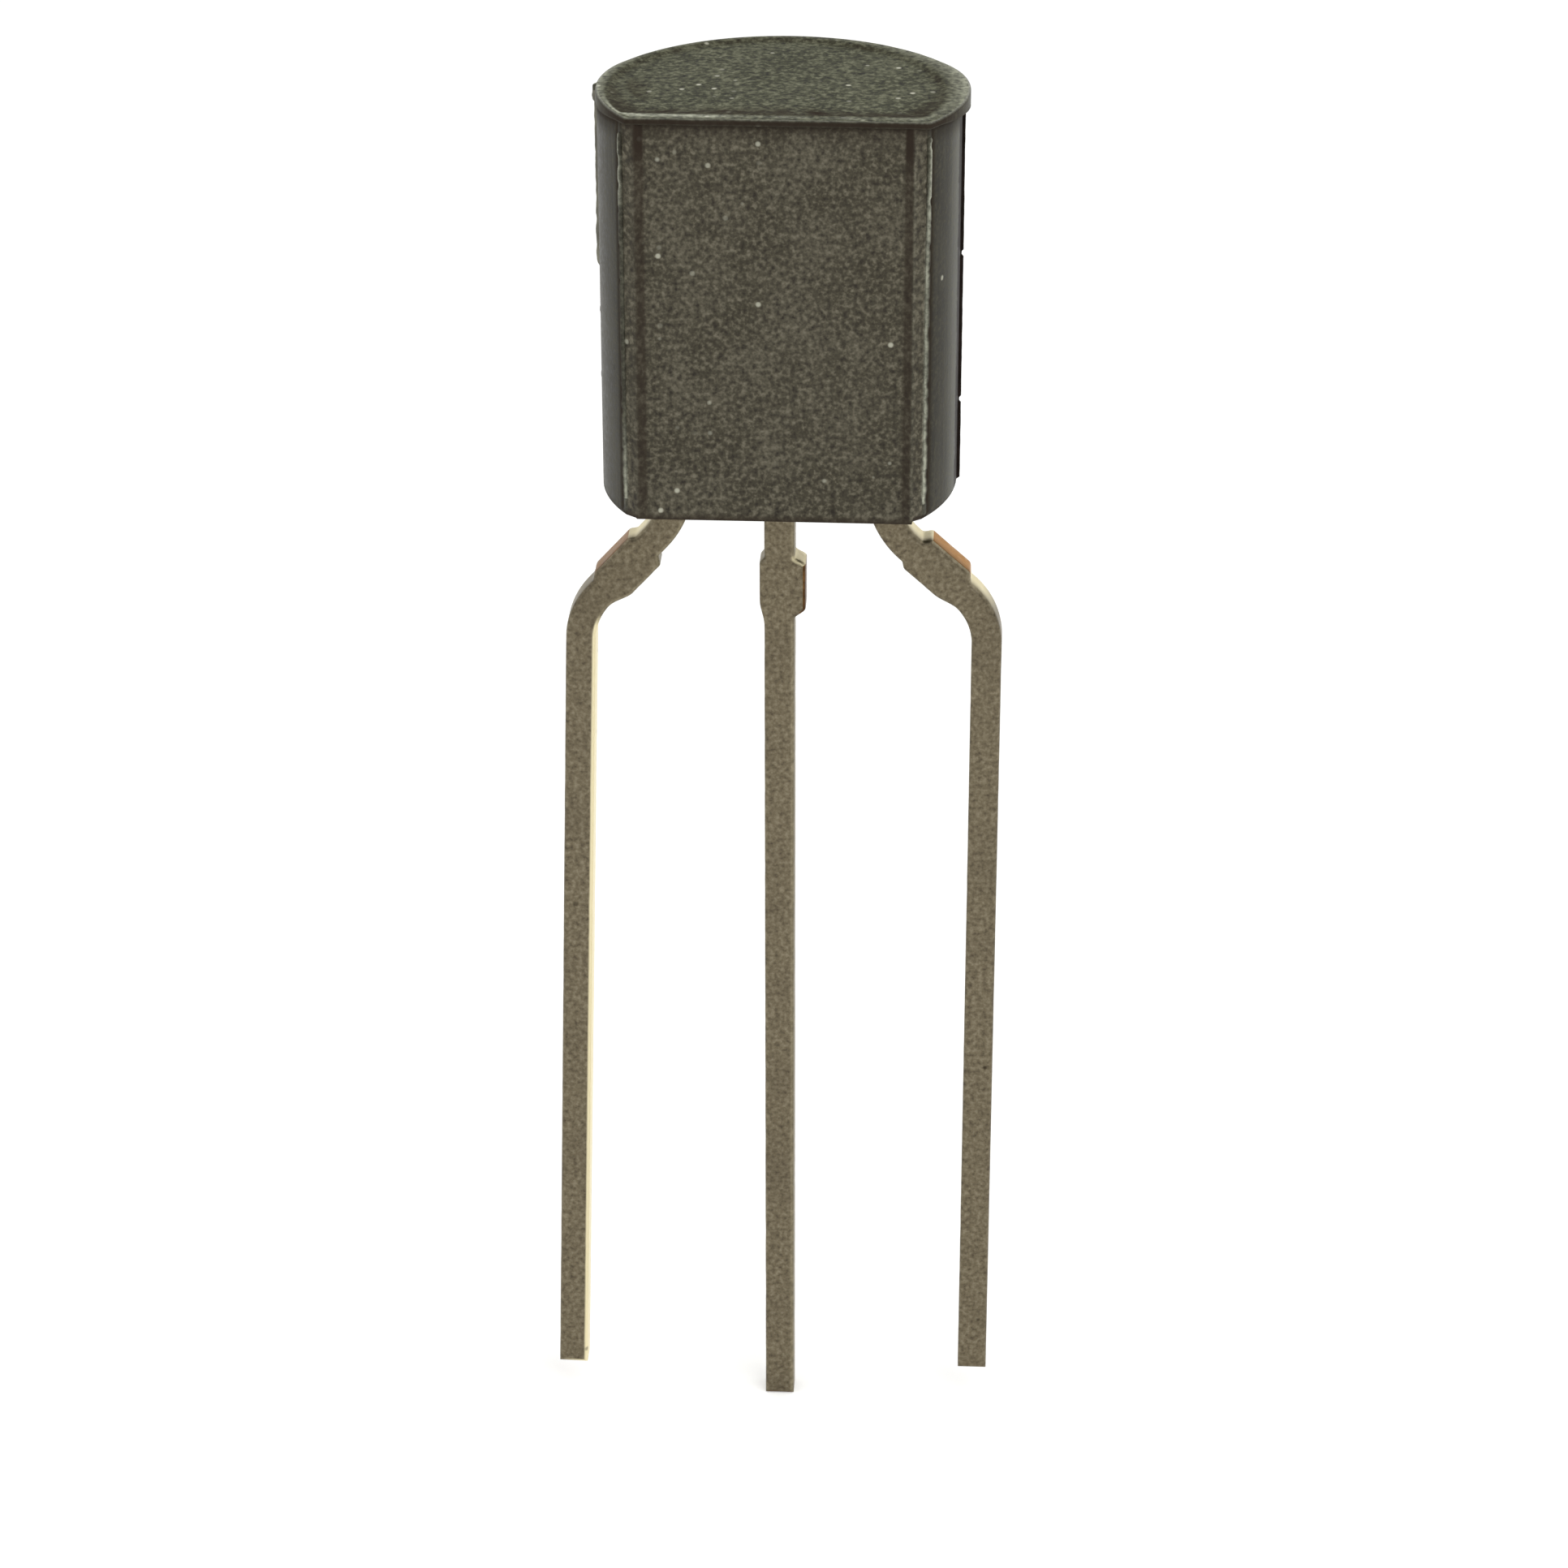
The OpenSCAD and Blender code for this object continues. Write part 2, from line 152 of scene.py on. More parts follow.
def write_mesh(
    name: str,
    vertices: np.ndarray,
    faces: Sequence[Sequence[int]],
    slots: Sequence[int],
    materials: Sequence[Material],
    values: dict[str, np.ndarray],
    sharp_deg: float,
) -> bpy.types.Object:
    """Makes one piece from its corners and faces.

    Args:
        name: Name of the piece.
        vertices: Corners in mm, one to a row.
        faces: Corner indices of each face.
        slots: Material slot of each face.
        materials: The piece's materials, in slot order.
        values: Named values of each corner, which its materials read.
        sharp_deg: Edges sharper than this are not smoothed over.

    Returns:
        The new object, linked to the scene.
    """
    mesh = bpy.data.meshes.new(name)
    mesh.from_pydata((np.asarray(vertices) * MM).tolist(), [], [list(f) for f in faces])
    for material in materials:
        mesh.materials.append(material)
    mesh.polygons.foreach_set("material_index", np.asarray(slots, np.int32))
    mesh.polygons.foreach_set("use_smooth", np.ones(len(mesh.polygons), bool))
    for label, numbers in values.items():
        layer = mesh.attributes.new(label, "FLOAT", "POINT")
        layer.data.foreach_set("value", np.asarray(numbers, np.float32))
    work = bmesh.new()
    work.from_mesh(mesh)
    bmesh.ops.recalc_face_normals(work, faces=work.faces)
    work.to_mesh(mesh)
    work.free()
    mesh.set_sharp_from_angle(angle=math.radians(sharp_deg))
    piece = bpy.data.objects.new(name, mesh)
    bpy.context.scene.collection.objects.link(piece)
    return piece


def add_node(
    tree: Tree,
    kind: str,
    values: dict | None = None,
    links: dict | None = None,
    **settings: object,
) -> bpy.types.Node:
    """Adds a shader node with its settings, its sockets' values and its links.

    Args:
        tree: The node tree.
        kind: Blender's name of the node.
        values: Socket to constant value.
        links: Socket to what feeds it.
        **settings: Properties of the node itself.

    Returns:
        The new node.
    """
    node = tree.nodes.new(kind)
    for name, value in settings.items():
        setattr(node, name, value)
    for socket, value in (values or {}).items():
        node.inputs[socket].default_value = value
    for socket, source in (links or {}).items():
        output = source if isinstance(source, Socket) else source.outputs[0]
        tree.links.new(output, node.inputs[socket])
    return node


@dataclass(frozen=True)
class Layer:
    """One colour laid over those below it, where a value between start and full says so."""

    colour: str
    source: Feed
    start: float
    full: float
    low: float = 0.0
    high: float = 1.0
    times: Feed | None = None


def layered(tree: Tree, base: str, layers: Sequence[Layer]) -> Socket:
    """Lays colours over a base colour, in order.

    Args:
        tree: The node tree.
        base: The lowest colour, as #rrggbb.
        layers: What lies over it.

    Returns:
        The socket that gives the final colour.
    """
    tone = None
    for layer in layers:
        share = add_node(
            tree, "ShaderNodeMapRange",
            {"From Min": layer.start, "From Max": layer.full,
             "To Min": layer.low, "To Max": layer.high},
            {"Value": layer.source},
        )
        if layer.times is not None:
            share = add_node(
                tree, "ShaderNodeMath", links={0: share, 1: layer.times},
                operation="MULTIPLY",
            )
        tone = add_node(
            tree, "ShaderNodeMix",
            {6: linear(base), 7: linear(layer.colour)},
            {0: share} if tone is None else {0: share, 6: tone},
            data_type="RGBA",
        ).outputs[2]
    return tone


def picked(
    tree: Tree, where: Socket, size: float, shares: dict[str, tuple[str, float]]
) -> tuple[Socket, dict[str, Feed]]:
    """Scatters cells and picks some of them at random.

    Args:
        tree: The node tree.
        where: Position.
        size: Size of a cell in mm.
        shares: Name to how it is picked: the cell colour's channel, and the share of cells.

    Returns:
        The distance from each cell's middle, and name to a random strength in the picked
        cells and 0 in the others.
    """
    cells = add_node(
        tree, "ShaderNodeTexVoronoi", {"Scale": per_mm(size), "Randomness": 1.0},
        {"Vector": where},
    )
    channels = add_node(
        tree, "ShaderNodeSeparateColor", links={"Color": cells.outputs["Color"]}
    )
    return cells.outputs["Distance"], {
        name: add_node(
            tree, "ShaderNodeMapRange", {"From Min": share, "From Max": 0.2 * share},
            {"Value": channels.outputs[channel]},
        )
        for name, (channel, share) in shares.items()
    }


def raised(
    tree: Tree, pattern: Feed, relief: float, values: dict, links: dict,
    strength: float = 1.0,
) -> Feed:
    """A shader whose surface a pattern raises.

    Args:
        tree: The node tree.
        pattern: The pattern.
        relief: Height of the relief in mm.
        values: Shader socket to constant value.
        links: Shader socket to what feeds it.
        strength: How much of the relief shows.

    Returns:
        The shader.
    """
    bump = add_node(
        tree, "ShaderNodeBump", {"Strength": strength, "Distance": relief * MM},
        {"Height": pattern},
    )
    return add_node(tree, "ShaderNodeBsdfPrincipled", values, links | {"Normal": bump})


# ---------- Finishes ----------


@dataclass(frozen=True)
class Finish:
    """A procedural finish. Each kind lays out its own surface."""

    name: str
    base: str

    def build(self) -> Material:
        """Builds the node material.

        Returns:
            The material, ready for a mesh slot.
        """
        material = bpy.data.materials.new(self.name)
        material.use_nodes = True
        tree = material.node_tree
        tree.nodes.clear()
        where = add_node(tree, "ShaderNodeTexCoord").outputs["Object"]
        surface = self.surface(tree, where)
        add_node(tree, "ShaderNodeOutputMaterial", links={"Surface": surface})
        return material

    def surface(self, tree: Tree, where: Socket) -> Feed:
        """Lays out the surface.

        Args:
            tree: The material's node tree.
            where: Position on the object.

        Returns:
            The shader.
        """
        raise NotImplementedError


@dataclass(frozen=True)
class MouldedEpoxy(Finish):
    """Epoxy moulding compound filled with silica, as it leaves the mould.

    The fill gives it a grain of light and dark flecks with sparse bright grains, and the
    mould's spark-eroded surface leaves it matt. Two corner values lay a painted highlight on
    edges and painted shade in recesses.
    """

    light: str
    dark: str
    roughness: float
    specular: float = 0.4
    # Grains of the fill are some 0.03 mm across; they are drawn coarser, so that they show.
    grain_mm: float = 0.062
    grain_mix: float = 1.0
    cloud_mm: float = 0.7
    cloud_mix: float = 0.25
    sparkle_mm: float = 0.2
    sparkle_share: float = 0.3
    sparkle: str = "#b4b3a2"
    pore_share: float = 0.25
    relief_mm: float = 0.006
    # Colours of the painted highlight and of the painted shade.
    highlight_tone: str = "#cfd1bd"
    shade_tone: str = "#281e17"
    # Release from the mould leaves fine upright streaks, of this width and length.
    streak_mm: tuple[float, float] = (0.06, 1.8)
    streak_mix: float = 0.0

    def surface(self, tree: Tree, where: Socket) -> Feed:
        """Lays out the surface, as Finish says.

        Args:
            tree: The material's node tree.
            where: Position on the object.

        Returns:
            The shader.
        """
        wide, tall = (per_mm(size) for size in self.streak_mm)
        upright = add_node(
            tree, "ShaderNodeMapping", {"Scale": (wide, wide, tall)}, {"Vector": where}
        )
        cloud, grain, streak = (
            add_node(
                tree, "ShaderNodeTexNoise",
                {"Scale": scale, "Detail": 2.0, "Roughness": 0.6},
                {"Vector": place},
            )
            for place, scale in (
                (where, per_mm(self.cloud_mm)), (where, per_mm(self.grain_mm)), (upright, 1.0)
            )
        )
        wear, painted_shade = (
            add_node(tree, "ShaderNodeAttribute", attribute_name=label).outputs["Fac"]
            for label in ("wear", "painted_shade")
        )
        away, cells = picked(tree, where, self.sparkle_mm, {
            "sparkle": ("Red", self.sparkle_share), "pore": ("Green", self.pore_share),
        })
        tone = layered(tree, self.base, [
            Layer(self.light, cloud, 0.4, 0.65, high=self.cloud_mix),
            Layer(self.light, grain, 0.5, 0.72, high=self.grain_mix),
            Layer(self.dark, grain, 0.5, 0.28, high=self.grain_mix),
            Layer(self.light, streak, 0.45, 0.75, high=self.streak_mix),
            # Grains broken open at the surface are few, small and bright; pores are dark.
            Layer(self.sparkle, away, 0.2, 0.1, times=cells["sparkle"]),
            Layer(self.dark, away, 0.24, 0.12, high=0.8, times=cells["pore"]),
            # Painted highlight on edges, then painted shade in recesses.
            Layer(self.highlight_tone, grain, 0.3, 0.62, low=0.35, times=wear),
            Layer(self.shade_tone, painted_shade, 0.0, 1.0),
        ])
        rough = add_node(
            tree, "ShaderNodeMapRange",
            {"From Min": 0.3, "From Max": 0.7,
             "To Min": self.roughness - 0.08, "To Max": self.roughness + 0.08},
            {"Value": grain},
        )
        # Where shade is painted, the surface is also made dull.
        dulled = add_node(
            tree, "ShaderNodeMath", {1: 1 - self.roughness},
            {0: painted_shade, 2: rough},
            operation="MULTIPLY_ADD", use_clamp=True,
        )
        return raised(
            tree, grain, self.relief_mm,
            {"IOR": 1.5, "Specular IOR Level": self.specular,
             "Specular Tint": linear("#fff8e6")},
            {"Base Color": tone, "Roughness": dulled},
        )


@dataclass(frozen=True)
class ResinFlash(Finish):
    """Resin that bled into the parting line: no fill in it, so it is glossy."""

    light: str
    roughness: float
    specular: float = 0.5
    flow_mm: float = 0.25
    relief_mm: float = 0.004

    def surface(self, tree: Tree, where: Socket) -> Feed:
        """Lays out the surface, as Finish says.

        Args:
            tree: The material's node tree.
            where: Position on the object.

        Returns:
            The shader.
        """
        flow = add_node(
            tree, "ShaderNodeTexNoise", {"Scale": per_mm(self.flow_mm), "Detail": 3.0},
            {"Vector": where},
        )
        return raised(
            tree, flow, self.relief_mm,
            {"IOR": 1.55, "Roughness": self.roughness, "Specular IOR Level": self.specular},
            {"Base Color": layered(tree, self.base, [Layer(self.light, flow, 0.4, 0.75)])},
            strength=0.6,
        )


@dataclass(frozen=True)
class PlatedMetal(Finish):
    """A metal surface that a bath, a die or etching left matt, with sparse dark specks.

    The corner value named bright lays a painted highlight on the faces that would catch the
    light.
    """

    light: str
    dark: str
    roughness: float
    # Crystals of matt tin are finer than a render shows, so the grain is drawn coarser.
    grain_mm: float = 0.075
    cloud_mm: float = 0.9
    cloud_mix: float = 0.4
    speck_mm: float = 0.3
    speck_share: float = 0.22
    speck: str = "#2b241b"
    # Colour of the painted highlight.
    bright: str = "#ebe0ba"
    relief_mm: float = 0.004

    def surface(self, tree: Tree, where: Socket) -> Feed:
        """Lays out the surface, as Finish says.

        Args:
            tree: The material's node tree.
            where: Position on the object.

        Returns:
            The shader.
        """
        grain, cloud = (
            add_node(
                tree, "ShaderNodeTexNoise",
                {"Scale": per_mm(size), "Detail": 3.0, "Roughness": 0.6},
                {"Vector": where},
            )
            for size in (self.grain_mm, self.cloud_mm)
        )
        away, cells = picked(tree, where, self.speck_mm, {
            "speck": ("Red", self.speck_share), "glint": ("Green", self.speck_share),
        })
        bright = add_node(tree, "ShaderNodeAttribute", attribute_name="bright").outputs["Fac"]
        tone = layered(tree, self.base, [
            Layer(self.light, grain, 0.5, 0.72),
            Layer(self.dark, grain, 0.5, 0.28),
            Layer(self.dark, cloud, 0.45, 0.7, high=self.cloud_mix),
            Layer(self.light, away, 0.13, 0.07, high=0.9, times=cells["glint"]),
            # Painted highlight, where the corner value says.
            Layer(self.bright, bright, 0.0, 1.0),
            Layer(self.speck, away, 0.15, 0.08, high=0.9, times=cells["speck"]),
        ])
        rough = add_node(
            tree, "ShaderNodeMapRange",
            {"From Min": 0.3, "From Max": 0.7,
             "To Min": self.roughness - 0.06, "To Max": self.roughness + 0.08},
            {"Value": grain},
        )
        return raised(
            tree, grain, self.relief_mm, {"Metallic": 1.0},
            {"Base Color": tone, "Roughness": rough},
        )


@dataclass(frozen=True)
class StudioPaper(Finish):
    """White seamless paper. The camera and mirrors see it white, with the object's shadow."""

    lift: float

    def surface(self, tree: Tree, where: Socket) -> Feed:
        """Lays out the surface, as Finish says.

        Args:
            tree: The material's node tree.
            where: Position on the object; not used.

        Returns:
            The shader.
        """
        rays = add_node(tree, "ShaderNodeLightPath").outputs
        seen = rays["Is Camera Ray"]
        for ray in ("Is Glossy Ray", "Is Transmission Ray"):
            seen = add_node(
                tree, "ShaderNodeMath", links={0: seen, 1: rays[ray]}, operation="MAXIMUM"
            )
        # Seen from underneath the paper is not there, so that the object's underside shows.
        side = add_node(tree, "ShaderNodeNewGeometry").outputs
        below = add_node(
            tree, "ShaderNodeMath",
            links={0: side["Backfacing"], 1: rays["Is Camera Ray"]}, operation="MULTIPLY",
        )
        paper, glow, dark, clear = (
            add_node(tree, kind, values)
            for kind, values in (
                ("ShaderNodeBsdfDiffuse", {"Color": linear(self.base), "Roughness": 0.5}),
                ("ShaderNodeEmission", {"Color": (1, 1, 1, 1), "Strength": self.lift}),
                ("ShaderNodeEmission", {"Strength": 0.0}),
                ("ShaderNodeBsdfTransparent", {}),
            )
        )
        lifted = add_node(tree, "ShaderNodeMixShader", links={0: seen, 1: dark, 2: glow})
        total = add_node(tree, "ShaderNodeAddShader", links={0: paper, 1: lifted})
        return add_node(tree, "ShaderNodeMixShader", links={0: below, 1: total, 2: clear})


# ---------- The case ----------


class Stretch(IntEnum):
    """Stretches of the case's outline, from the middle of the flat to that of the back."""

    PANEL = 0
    FOOT = 1
    WALL = 2
    CREST = 3
    LAND = 4
    BEAD = 5
    FLANK = 6
    FILM = 7
    BACK = 8


# How many corners each stretch of half the outline has, apart from the film.
CORNERS = {
    Stretch.PANEL: 44, Stretch.FOOT: 4, Stretch.WALL: 4, Stretch.CREST: 5, Stretch.LAND: 8,
    Stretch.BEAD: 15, Stretch.FLANK: 46, Stretch.BACK: 60,
}


class CaseSlot(IntEnum):
    """Material slots of the case."""

    SIDE = 0
    PANEL = 1
    TOP = 2
    EDGE = 3
    DARK_FILM_AND_SHADE = 4
    PALE_FILM = 5


@dataclass
class Ring:
    """One closed loop of corners round the case, with what its corners' materials read."""

    points: np.ndarray
    wear: np.ndarray
    painted_shade: np.ndarray
    slots: np.ndarray

    @classmethod
    def at(
        cls, flat: np.ndarray, z: Numbers, wear: Numbers, painted_shade: Numbers, slots: Numbers
    ) -> "Ring":
        """Makes a loop; one number may stand for all corners.

        Args:
            flat: Rows of x and y.
            z: Heights.
            highlight: How strong the painted highlight is at each corner.
            painted_shade: How much painted shade each corner has.
            slots: Material slots.

        Returns:
            The loop.
        """
        z, wear, painted_shade, slots = (
            np.broadcast_to(value, len(flat)) for value in (z, wear, painted_shade, slots)
        )
        return cls(np.column_stack([flat, z]), wear, painted_shade, slots)


@dataclass
class EpoxyCase:
    """The moulded case: a round back, a sunk flat front, beads, a cap, a dish and flash."""

    radius: float = 2.21
    bottom: float = 2.2
    top: float = 7.33
    # The flat front: a sunk panel between crests, and an inclined land on each side.
    front: float = 1.36
    sink: float = 0.06
    floor_half: float = 1.57
    crest_half: float = 1.675
    land_deg: float = 39.0
    soft: float = 0.02
    flush_z: tuple[float, float] = (2.24, 2.36)
    # The beads where the lands meet the round side.
    bead_r: float = 0.035
    bead_low: float = 2.42
    bead_high: float = 7.11
    # The moulded edge round the underside: on the left, on the right and along the front.
    foot_round: tuple[float, float] = (0.02, 0.09)
    front_round: float = 0.012
    # The cap. Its underside dips towards the back, and its top rounds down there.
    cap_r: float = 2.265
    cap_shift: float = 0.04
    cap_soft: float = 0.03
    lip_z: float = 7.25
    dip_z: float = 7.05
    ledge_z: float = 7.11
    lip_run: float = 0.2
    rim_round: float = 0.03
    # Height and length of the waves in its front edge and in its rim.
    front_wave: tuple[float, float] = (0.006, 0.3)
    rim_wave: tuple[float, float] = (0.005, 0.45)
    # Places across the rim, from its outer edge to the dish, and how strong the painted
    # highlight is on each.
    rim_loops: Knots = (
        (0.15, 0.0), (0.3, 0.5), (0.5, 1.0), (0.68, 1.0), (0.84, 0.4), (1.0, 0.0)
    )
    back_fade: float = 0.25
    back_round: float = 0.35
    back_cross: float = 0.01
    # The dish in the top, and where it was torn.
    dish_r: float = 2.05
    dish_at: tuple[float, float] = (-0.04, -0.12)
    dish_hub_y: float = 0.25
    dish_front: float = -1.12
    dish_depth: float = 0.03
    dish_soft: float = 0.06
    # Run in from the dish's edge, share of its depth, and painted shade.
    dish_loops: tuple[tuple[float, float, float], ...] = (
        (0.03, 0.3, 0.8), (0.07, 0.8, 0.8), (0.12, 1.0, 0.3), (0.17, 1.0, 0.1)
    )
    scar_at: tuple[float, float] = (-1.88, -0.3)
    scar_stretch: tuple[float, float] = (1.5, 0.72)
    scar_r: tuple[float, float] = (0.2, 0.62)
    scar_depth: float = 0.006
    # The film of resin on the parting line: place across it and share of its reach.
    film_half: float = 0.02
    film_shape: Knots = (
        (-0.9, 0.4), (-0.7, 0.85), (-0.3, 1.0), (0.3, 1.0), (0.7, 0.85), (0.9, 0.4), (1.0, 0.0)
    )
    film_ridge: float = 0.003
    film_top: float = 7.22
    # On the right it is whole but for two nicks, with a strip of painted shade beside it.
    right_film: float = 0.04
    right_film_z: tuple[float, float] = (2.23, 2.27)
    nick_z: tuple[float, float] = (5.245, 3.335)
    nick_half: tuple[float, float] = (0.02, 0.045)
    nick_depth: float = 0.6
    shade_strip_deg: float = 8.5
    # On the left it ends half way, over scraps and an ear: middle height, radius and reach.
    left_film: float = 0.048
    left_film_z: tuple[float, float] = (5.0, 5.05)
    scraps: tuple[tuple[float, float, float], ...] = (
        (4.43, 0.25, 0.015), (3.58, 0.25, 0.015), (7.16, 0.08, 0.068)
    )
    # How strong the painted highlight on the beads is at each height, on the right and on the
    # left. It lies at their inner edge below and at their outer edge at the top.
    shine: tuple[Knots, Knots] = (
        ((2.4, 1.0), (3.0, 0.9), (3.6, 0.62), (6.2, 0.58), (6.8, 1.0)),
        ((2.4, 0.75), (3.0, 0.5), (3.5, 0.05), (6.1, 0.05), (6.5, 0.55)),
    )
    shine_middle: Knots = ((5.6, -0.75), (6.9, 0.35))
    shine_half: float = 0.5
    # Share and length of the waves in the beads' fullness and in their shine.
    bead_wave: tuple[float, float] = (0.5, 0.1)
    shine_wave: tuple[float, float] = (0.25, 0.13)
    seeds: tuple[float, float] = (1.7, 5.3)
    # Painted highlight, from 0 to 1.
    crest_highlight: float = 0.05
    flank_highlight: float = 0.09
    cap_highlight: float = 0.08
    rim_highlight: float = 0.42
    # Along the front of the rim: everywhere, more on the left, and in patches.
    front_highlight: tuple[float, float, float] = (0.17, 0.46, 0.25)
    # Painted shade, from 0 to 1. In the grooves beside the panel: low, high, and where it
    # changes.
    groove_shade: tuple[float, float] = (0.6, 0.95)
    groove_z: tuple[float, float] = (6.7, 6.95)
    # Painted shade beside the beads and on their outer edge.
    bead_shade: tuple[float, float] = (0.7, 0.9)
    # Under the lip: painted shade, and the distances to the lip between which it rises.
    lip_shade: tuple[tuple[float, float, float], ...] = (
        (0.36, -0.3, -0.03), (0.32, -0.09, -0.02)
    )
    # Painted shade at the foot of the front, on its moulded edge and at the foot of the sides.
    foot_shade: tuple[float, float, float] = (0.8, 0.85, 0.3)
    foot_run: float = 0.06
    # Painted shade on the underside, and on the cap's front face.
    base_shade: float = 0.1
    front_shade: float = 0.9
    side_rings: int = 118

    # The outline seen from above, a row or a value to each corner.
    half_count: int = field(init=False)
    marks: np.ndarray = field(init=False)
    side: np.ndarray = field(init=False)
    base: np.ndarray = field(init=False)
    flush: np.ndarray = field(init=False)
    beaded: np.ndarray = field(init=False)
    cap: np.ndarray = field(init=False)
    film: np.ndarray = field(init=False)
    bead_place: np.ndarray = field(init=False)
    # Which corners are ahead of the flanks, on the flat front, on a bead and on the film.
    ahead: np.ndarray = field(init=False)
    flat_front: np.ndarray = field(init=False)
    is_bead: np.ndarray = field(init=False)
    is_film: np.ndarray = field(init=False)
    # How far round each corner is in degrees, how far the cap's underside has fallen there,
    # the point that the top's loops close in on, and the painted highlight and shade along the
    # outline.
    bend: np.ndarray = field(init=False)
    fall: np.ndarray = field(init=False)
    hub: np.ndarray = field(init=False)
    groove: np.ndarray = field(init=False)
    crest: np.ndarray = field(init=False)
    beside_bead: np.ndarray = field(init=False)
    highlit: np.ndarray = field(init=False)

    def __post_init__(self) -> None:
        """Draws the outline, and marks the stretches and what follows them."""
        self.draw_outline()
        self.ahead = self.marks <= Stretch.BEAD
        self.flat_front = self.marks <= Stretch.CREST
        self.is_bead = self.marks == Stretch.BEAD
        self.is_film = self.marks == Stretch.FILM
        # The underside of the cap is level at the front and falls towards the middle.
        run = self.front - self.lip_run
        self.fall = np.clip((self.base[:, 1] + run) / run, 0, 1)
        self.hub = np.array([self.dish_at[0], self.dish_hub_y])
        self.mark_painted_light()

    def corner(self) -> np.ndarray:
        """Where the right land meets the round side.

        Returns:
            Its x and y.
        """
        along = math.radians(self.land_deg)
        way = np.array([math.cos(along), math.sin(along)])
        start = np.array([self.crest_half, -self.front])
        half = float(start @ way)
        run = -half + math.sqrt(half * half + self.radius ** 2 - float(start @ start))
        return start + run * way

    def draw_outline(self) -> None:
        """Draws the outline from the front's middle, by the right side, all the way round.

        Base is the body without its beads, flush is base with the panel level with the
        crests, and beaded is base with its beads. Film is the share of the film's reach.
        """
        foot = np.array([self.floor_half, self.sink - self.front])
        crest = np.array([self.crest_half, -self.front])
        corner = self.corner()
        middle = np.array([0.0, foot[1]])
        in_foot = foot - np.array([self.soft, 0.0])
        wall_way, land_way = unit(crest - foot), unit(corner - crest)
        up_foot, in_crest = foot + self.soft * wall_way, crest - self.soft * wall_way
        out_crest = crest + self.soft * land_way
        turn = math.atan2(corner[1], corner[0])
        step = 2 * math.asin(self.bead_r / 2 / self.radius)
        across = np.linspace(-1, 1, CORNERS[Stretch.BEAD] + 1)[1:]
        under_bead = np.where(
            across[:, None] < 0, corner + across[:, None] * self.bead_r * land_way,
            arc(self.radius, turn + across * step),
        )
        film_turn = math.asin(self.film_half / self.radius)
        film_y, film_out = np.array(self.film_shape).T
        film_y = self.film_half * film_y
        flank_turns = np.linspace(turn + step, -film_turn, CORNERS[Stretch.FLANK] + 1)[1:]
        back_turns = np.linspace(film_turn, math.pi / 2, CORNERS[Stretch.BACK] + 1)[1:]
        land_end = corner - self.bead_r * land_way
        runs = {
            Stretch.PANEL: np.vstack([middle, line(middle, in_foot, CORNERS[Stretch.PANEL])]),
            Stretch.FOOT: bezier(in_foot, foot, up_foot, CORNERS[Stretch.FOOT]),
            Stretch.WALL: line(up_foot, in_crest, CORNERS[Stretch.WALL]),
            Stretch.CREST: bezier(in_crest, crest, out_crest, CORNERS[Stretch.CREST]),
            Stretch.LAND: line(out_crest, land_end, CORNERS[Stretch.LAND]),
            Stretch.BEAD: under_bead,
            Stretch.FLANK: arc(self.radius, flank_turns),
            Stretch.FILM: np.stack([np.sqrt(self.radius ** 2 - film_y ** 2), film_y], 1),
            Stretch.BACK: arc(self.radius, back_turns),
        }
        base = np.concatenate(list(runs.values()))
        marks = np.repeat([int(s) for s in runs], [len(rows) for rows in runs.values()])

        beaded = base.copy()
        start = math.radians(self.land_deg + 180)
        end = turn + math.pi / 2 + 2 * math.pi + step / 2
        is_bead = marks == Stretch.BEAD
        beaded[is_bead] = corner + arc(self.bead_r, start + (end - start) * (across + 1) / 2)

        level = marks <= Stretch.CREST
        flush = base.copy()
        flush[level, 1] = -self.front
        cap = self.cap_r * unit(base)
        cap[level] = flush[level]
        turned = np.where(is_bead | (marks == Stretch.LAND))[0]
        lengths = np.linalg.norm(np.diff(base[turned[0] - 1:turned[-1] + 1], axis=0), axis=1)
        cap[turned] = self.cap_corner(
            cap[turned[0] - 1], cap[turned[-1]], np.cumsum(lengths) / lengths.sum()
        )

        film = np.zeros(len(base))
        film[marks == Stretch.FILM] = film_out
        # Places across the bead run from -1 to 1; away from it they are far off.
        place = np.full(len(base), 9.0)
        first = int(np.argmax(is_bead))
        place[first - 2:first] = (-1.6, -1.2)
        place[is_bead] = np.linspace(-1, 1, len(across))

        self.half_count = len(base)
        self.marks, self.film, self.bead_place, self.base, self.flush, self.beaded, cap = (
            self.whole(half) for half in (marks, film, place, base, flush, beaded, cap)
        )
        self.side = np.where(np.arange(len(self.marks)) < self.half_count, 1, -1)
        self.cap = self.trimmed(cap + np.array([self.cap_shift, 0.0]))

    @staticmethod
    def whole(half: np.ndarray) -> np.ndarray:
        """Carries points or values of the right side on round the left side.

        Args:
            half: Rows of x and y, or values, from the middle of the front to that of the back.

        Returns:
            The same for the whole loop, counter-clockwise from the middle of the front.
        """
        other = half[-2:0:-1].copy()
        if half.ndim == 2:
            other[:, 0] *= -1
        return np.concatenate([half, other])

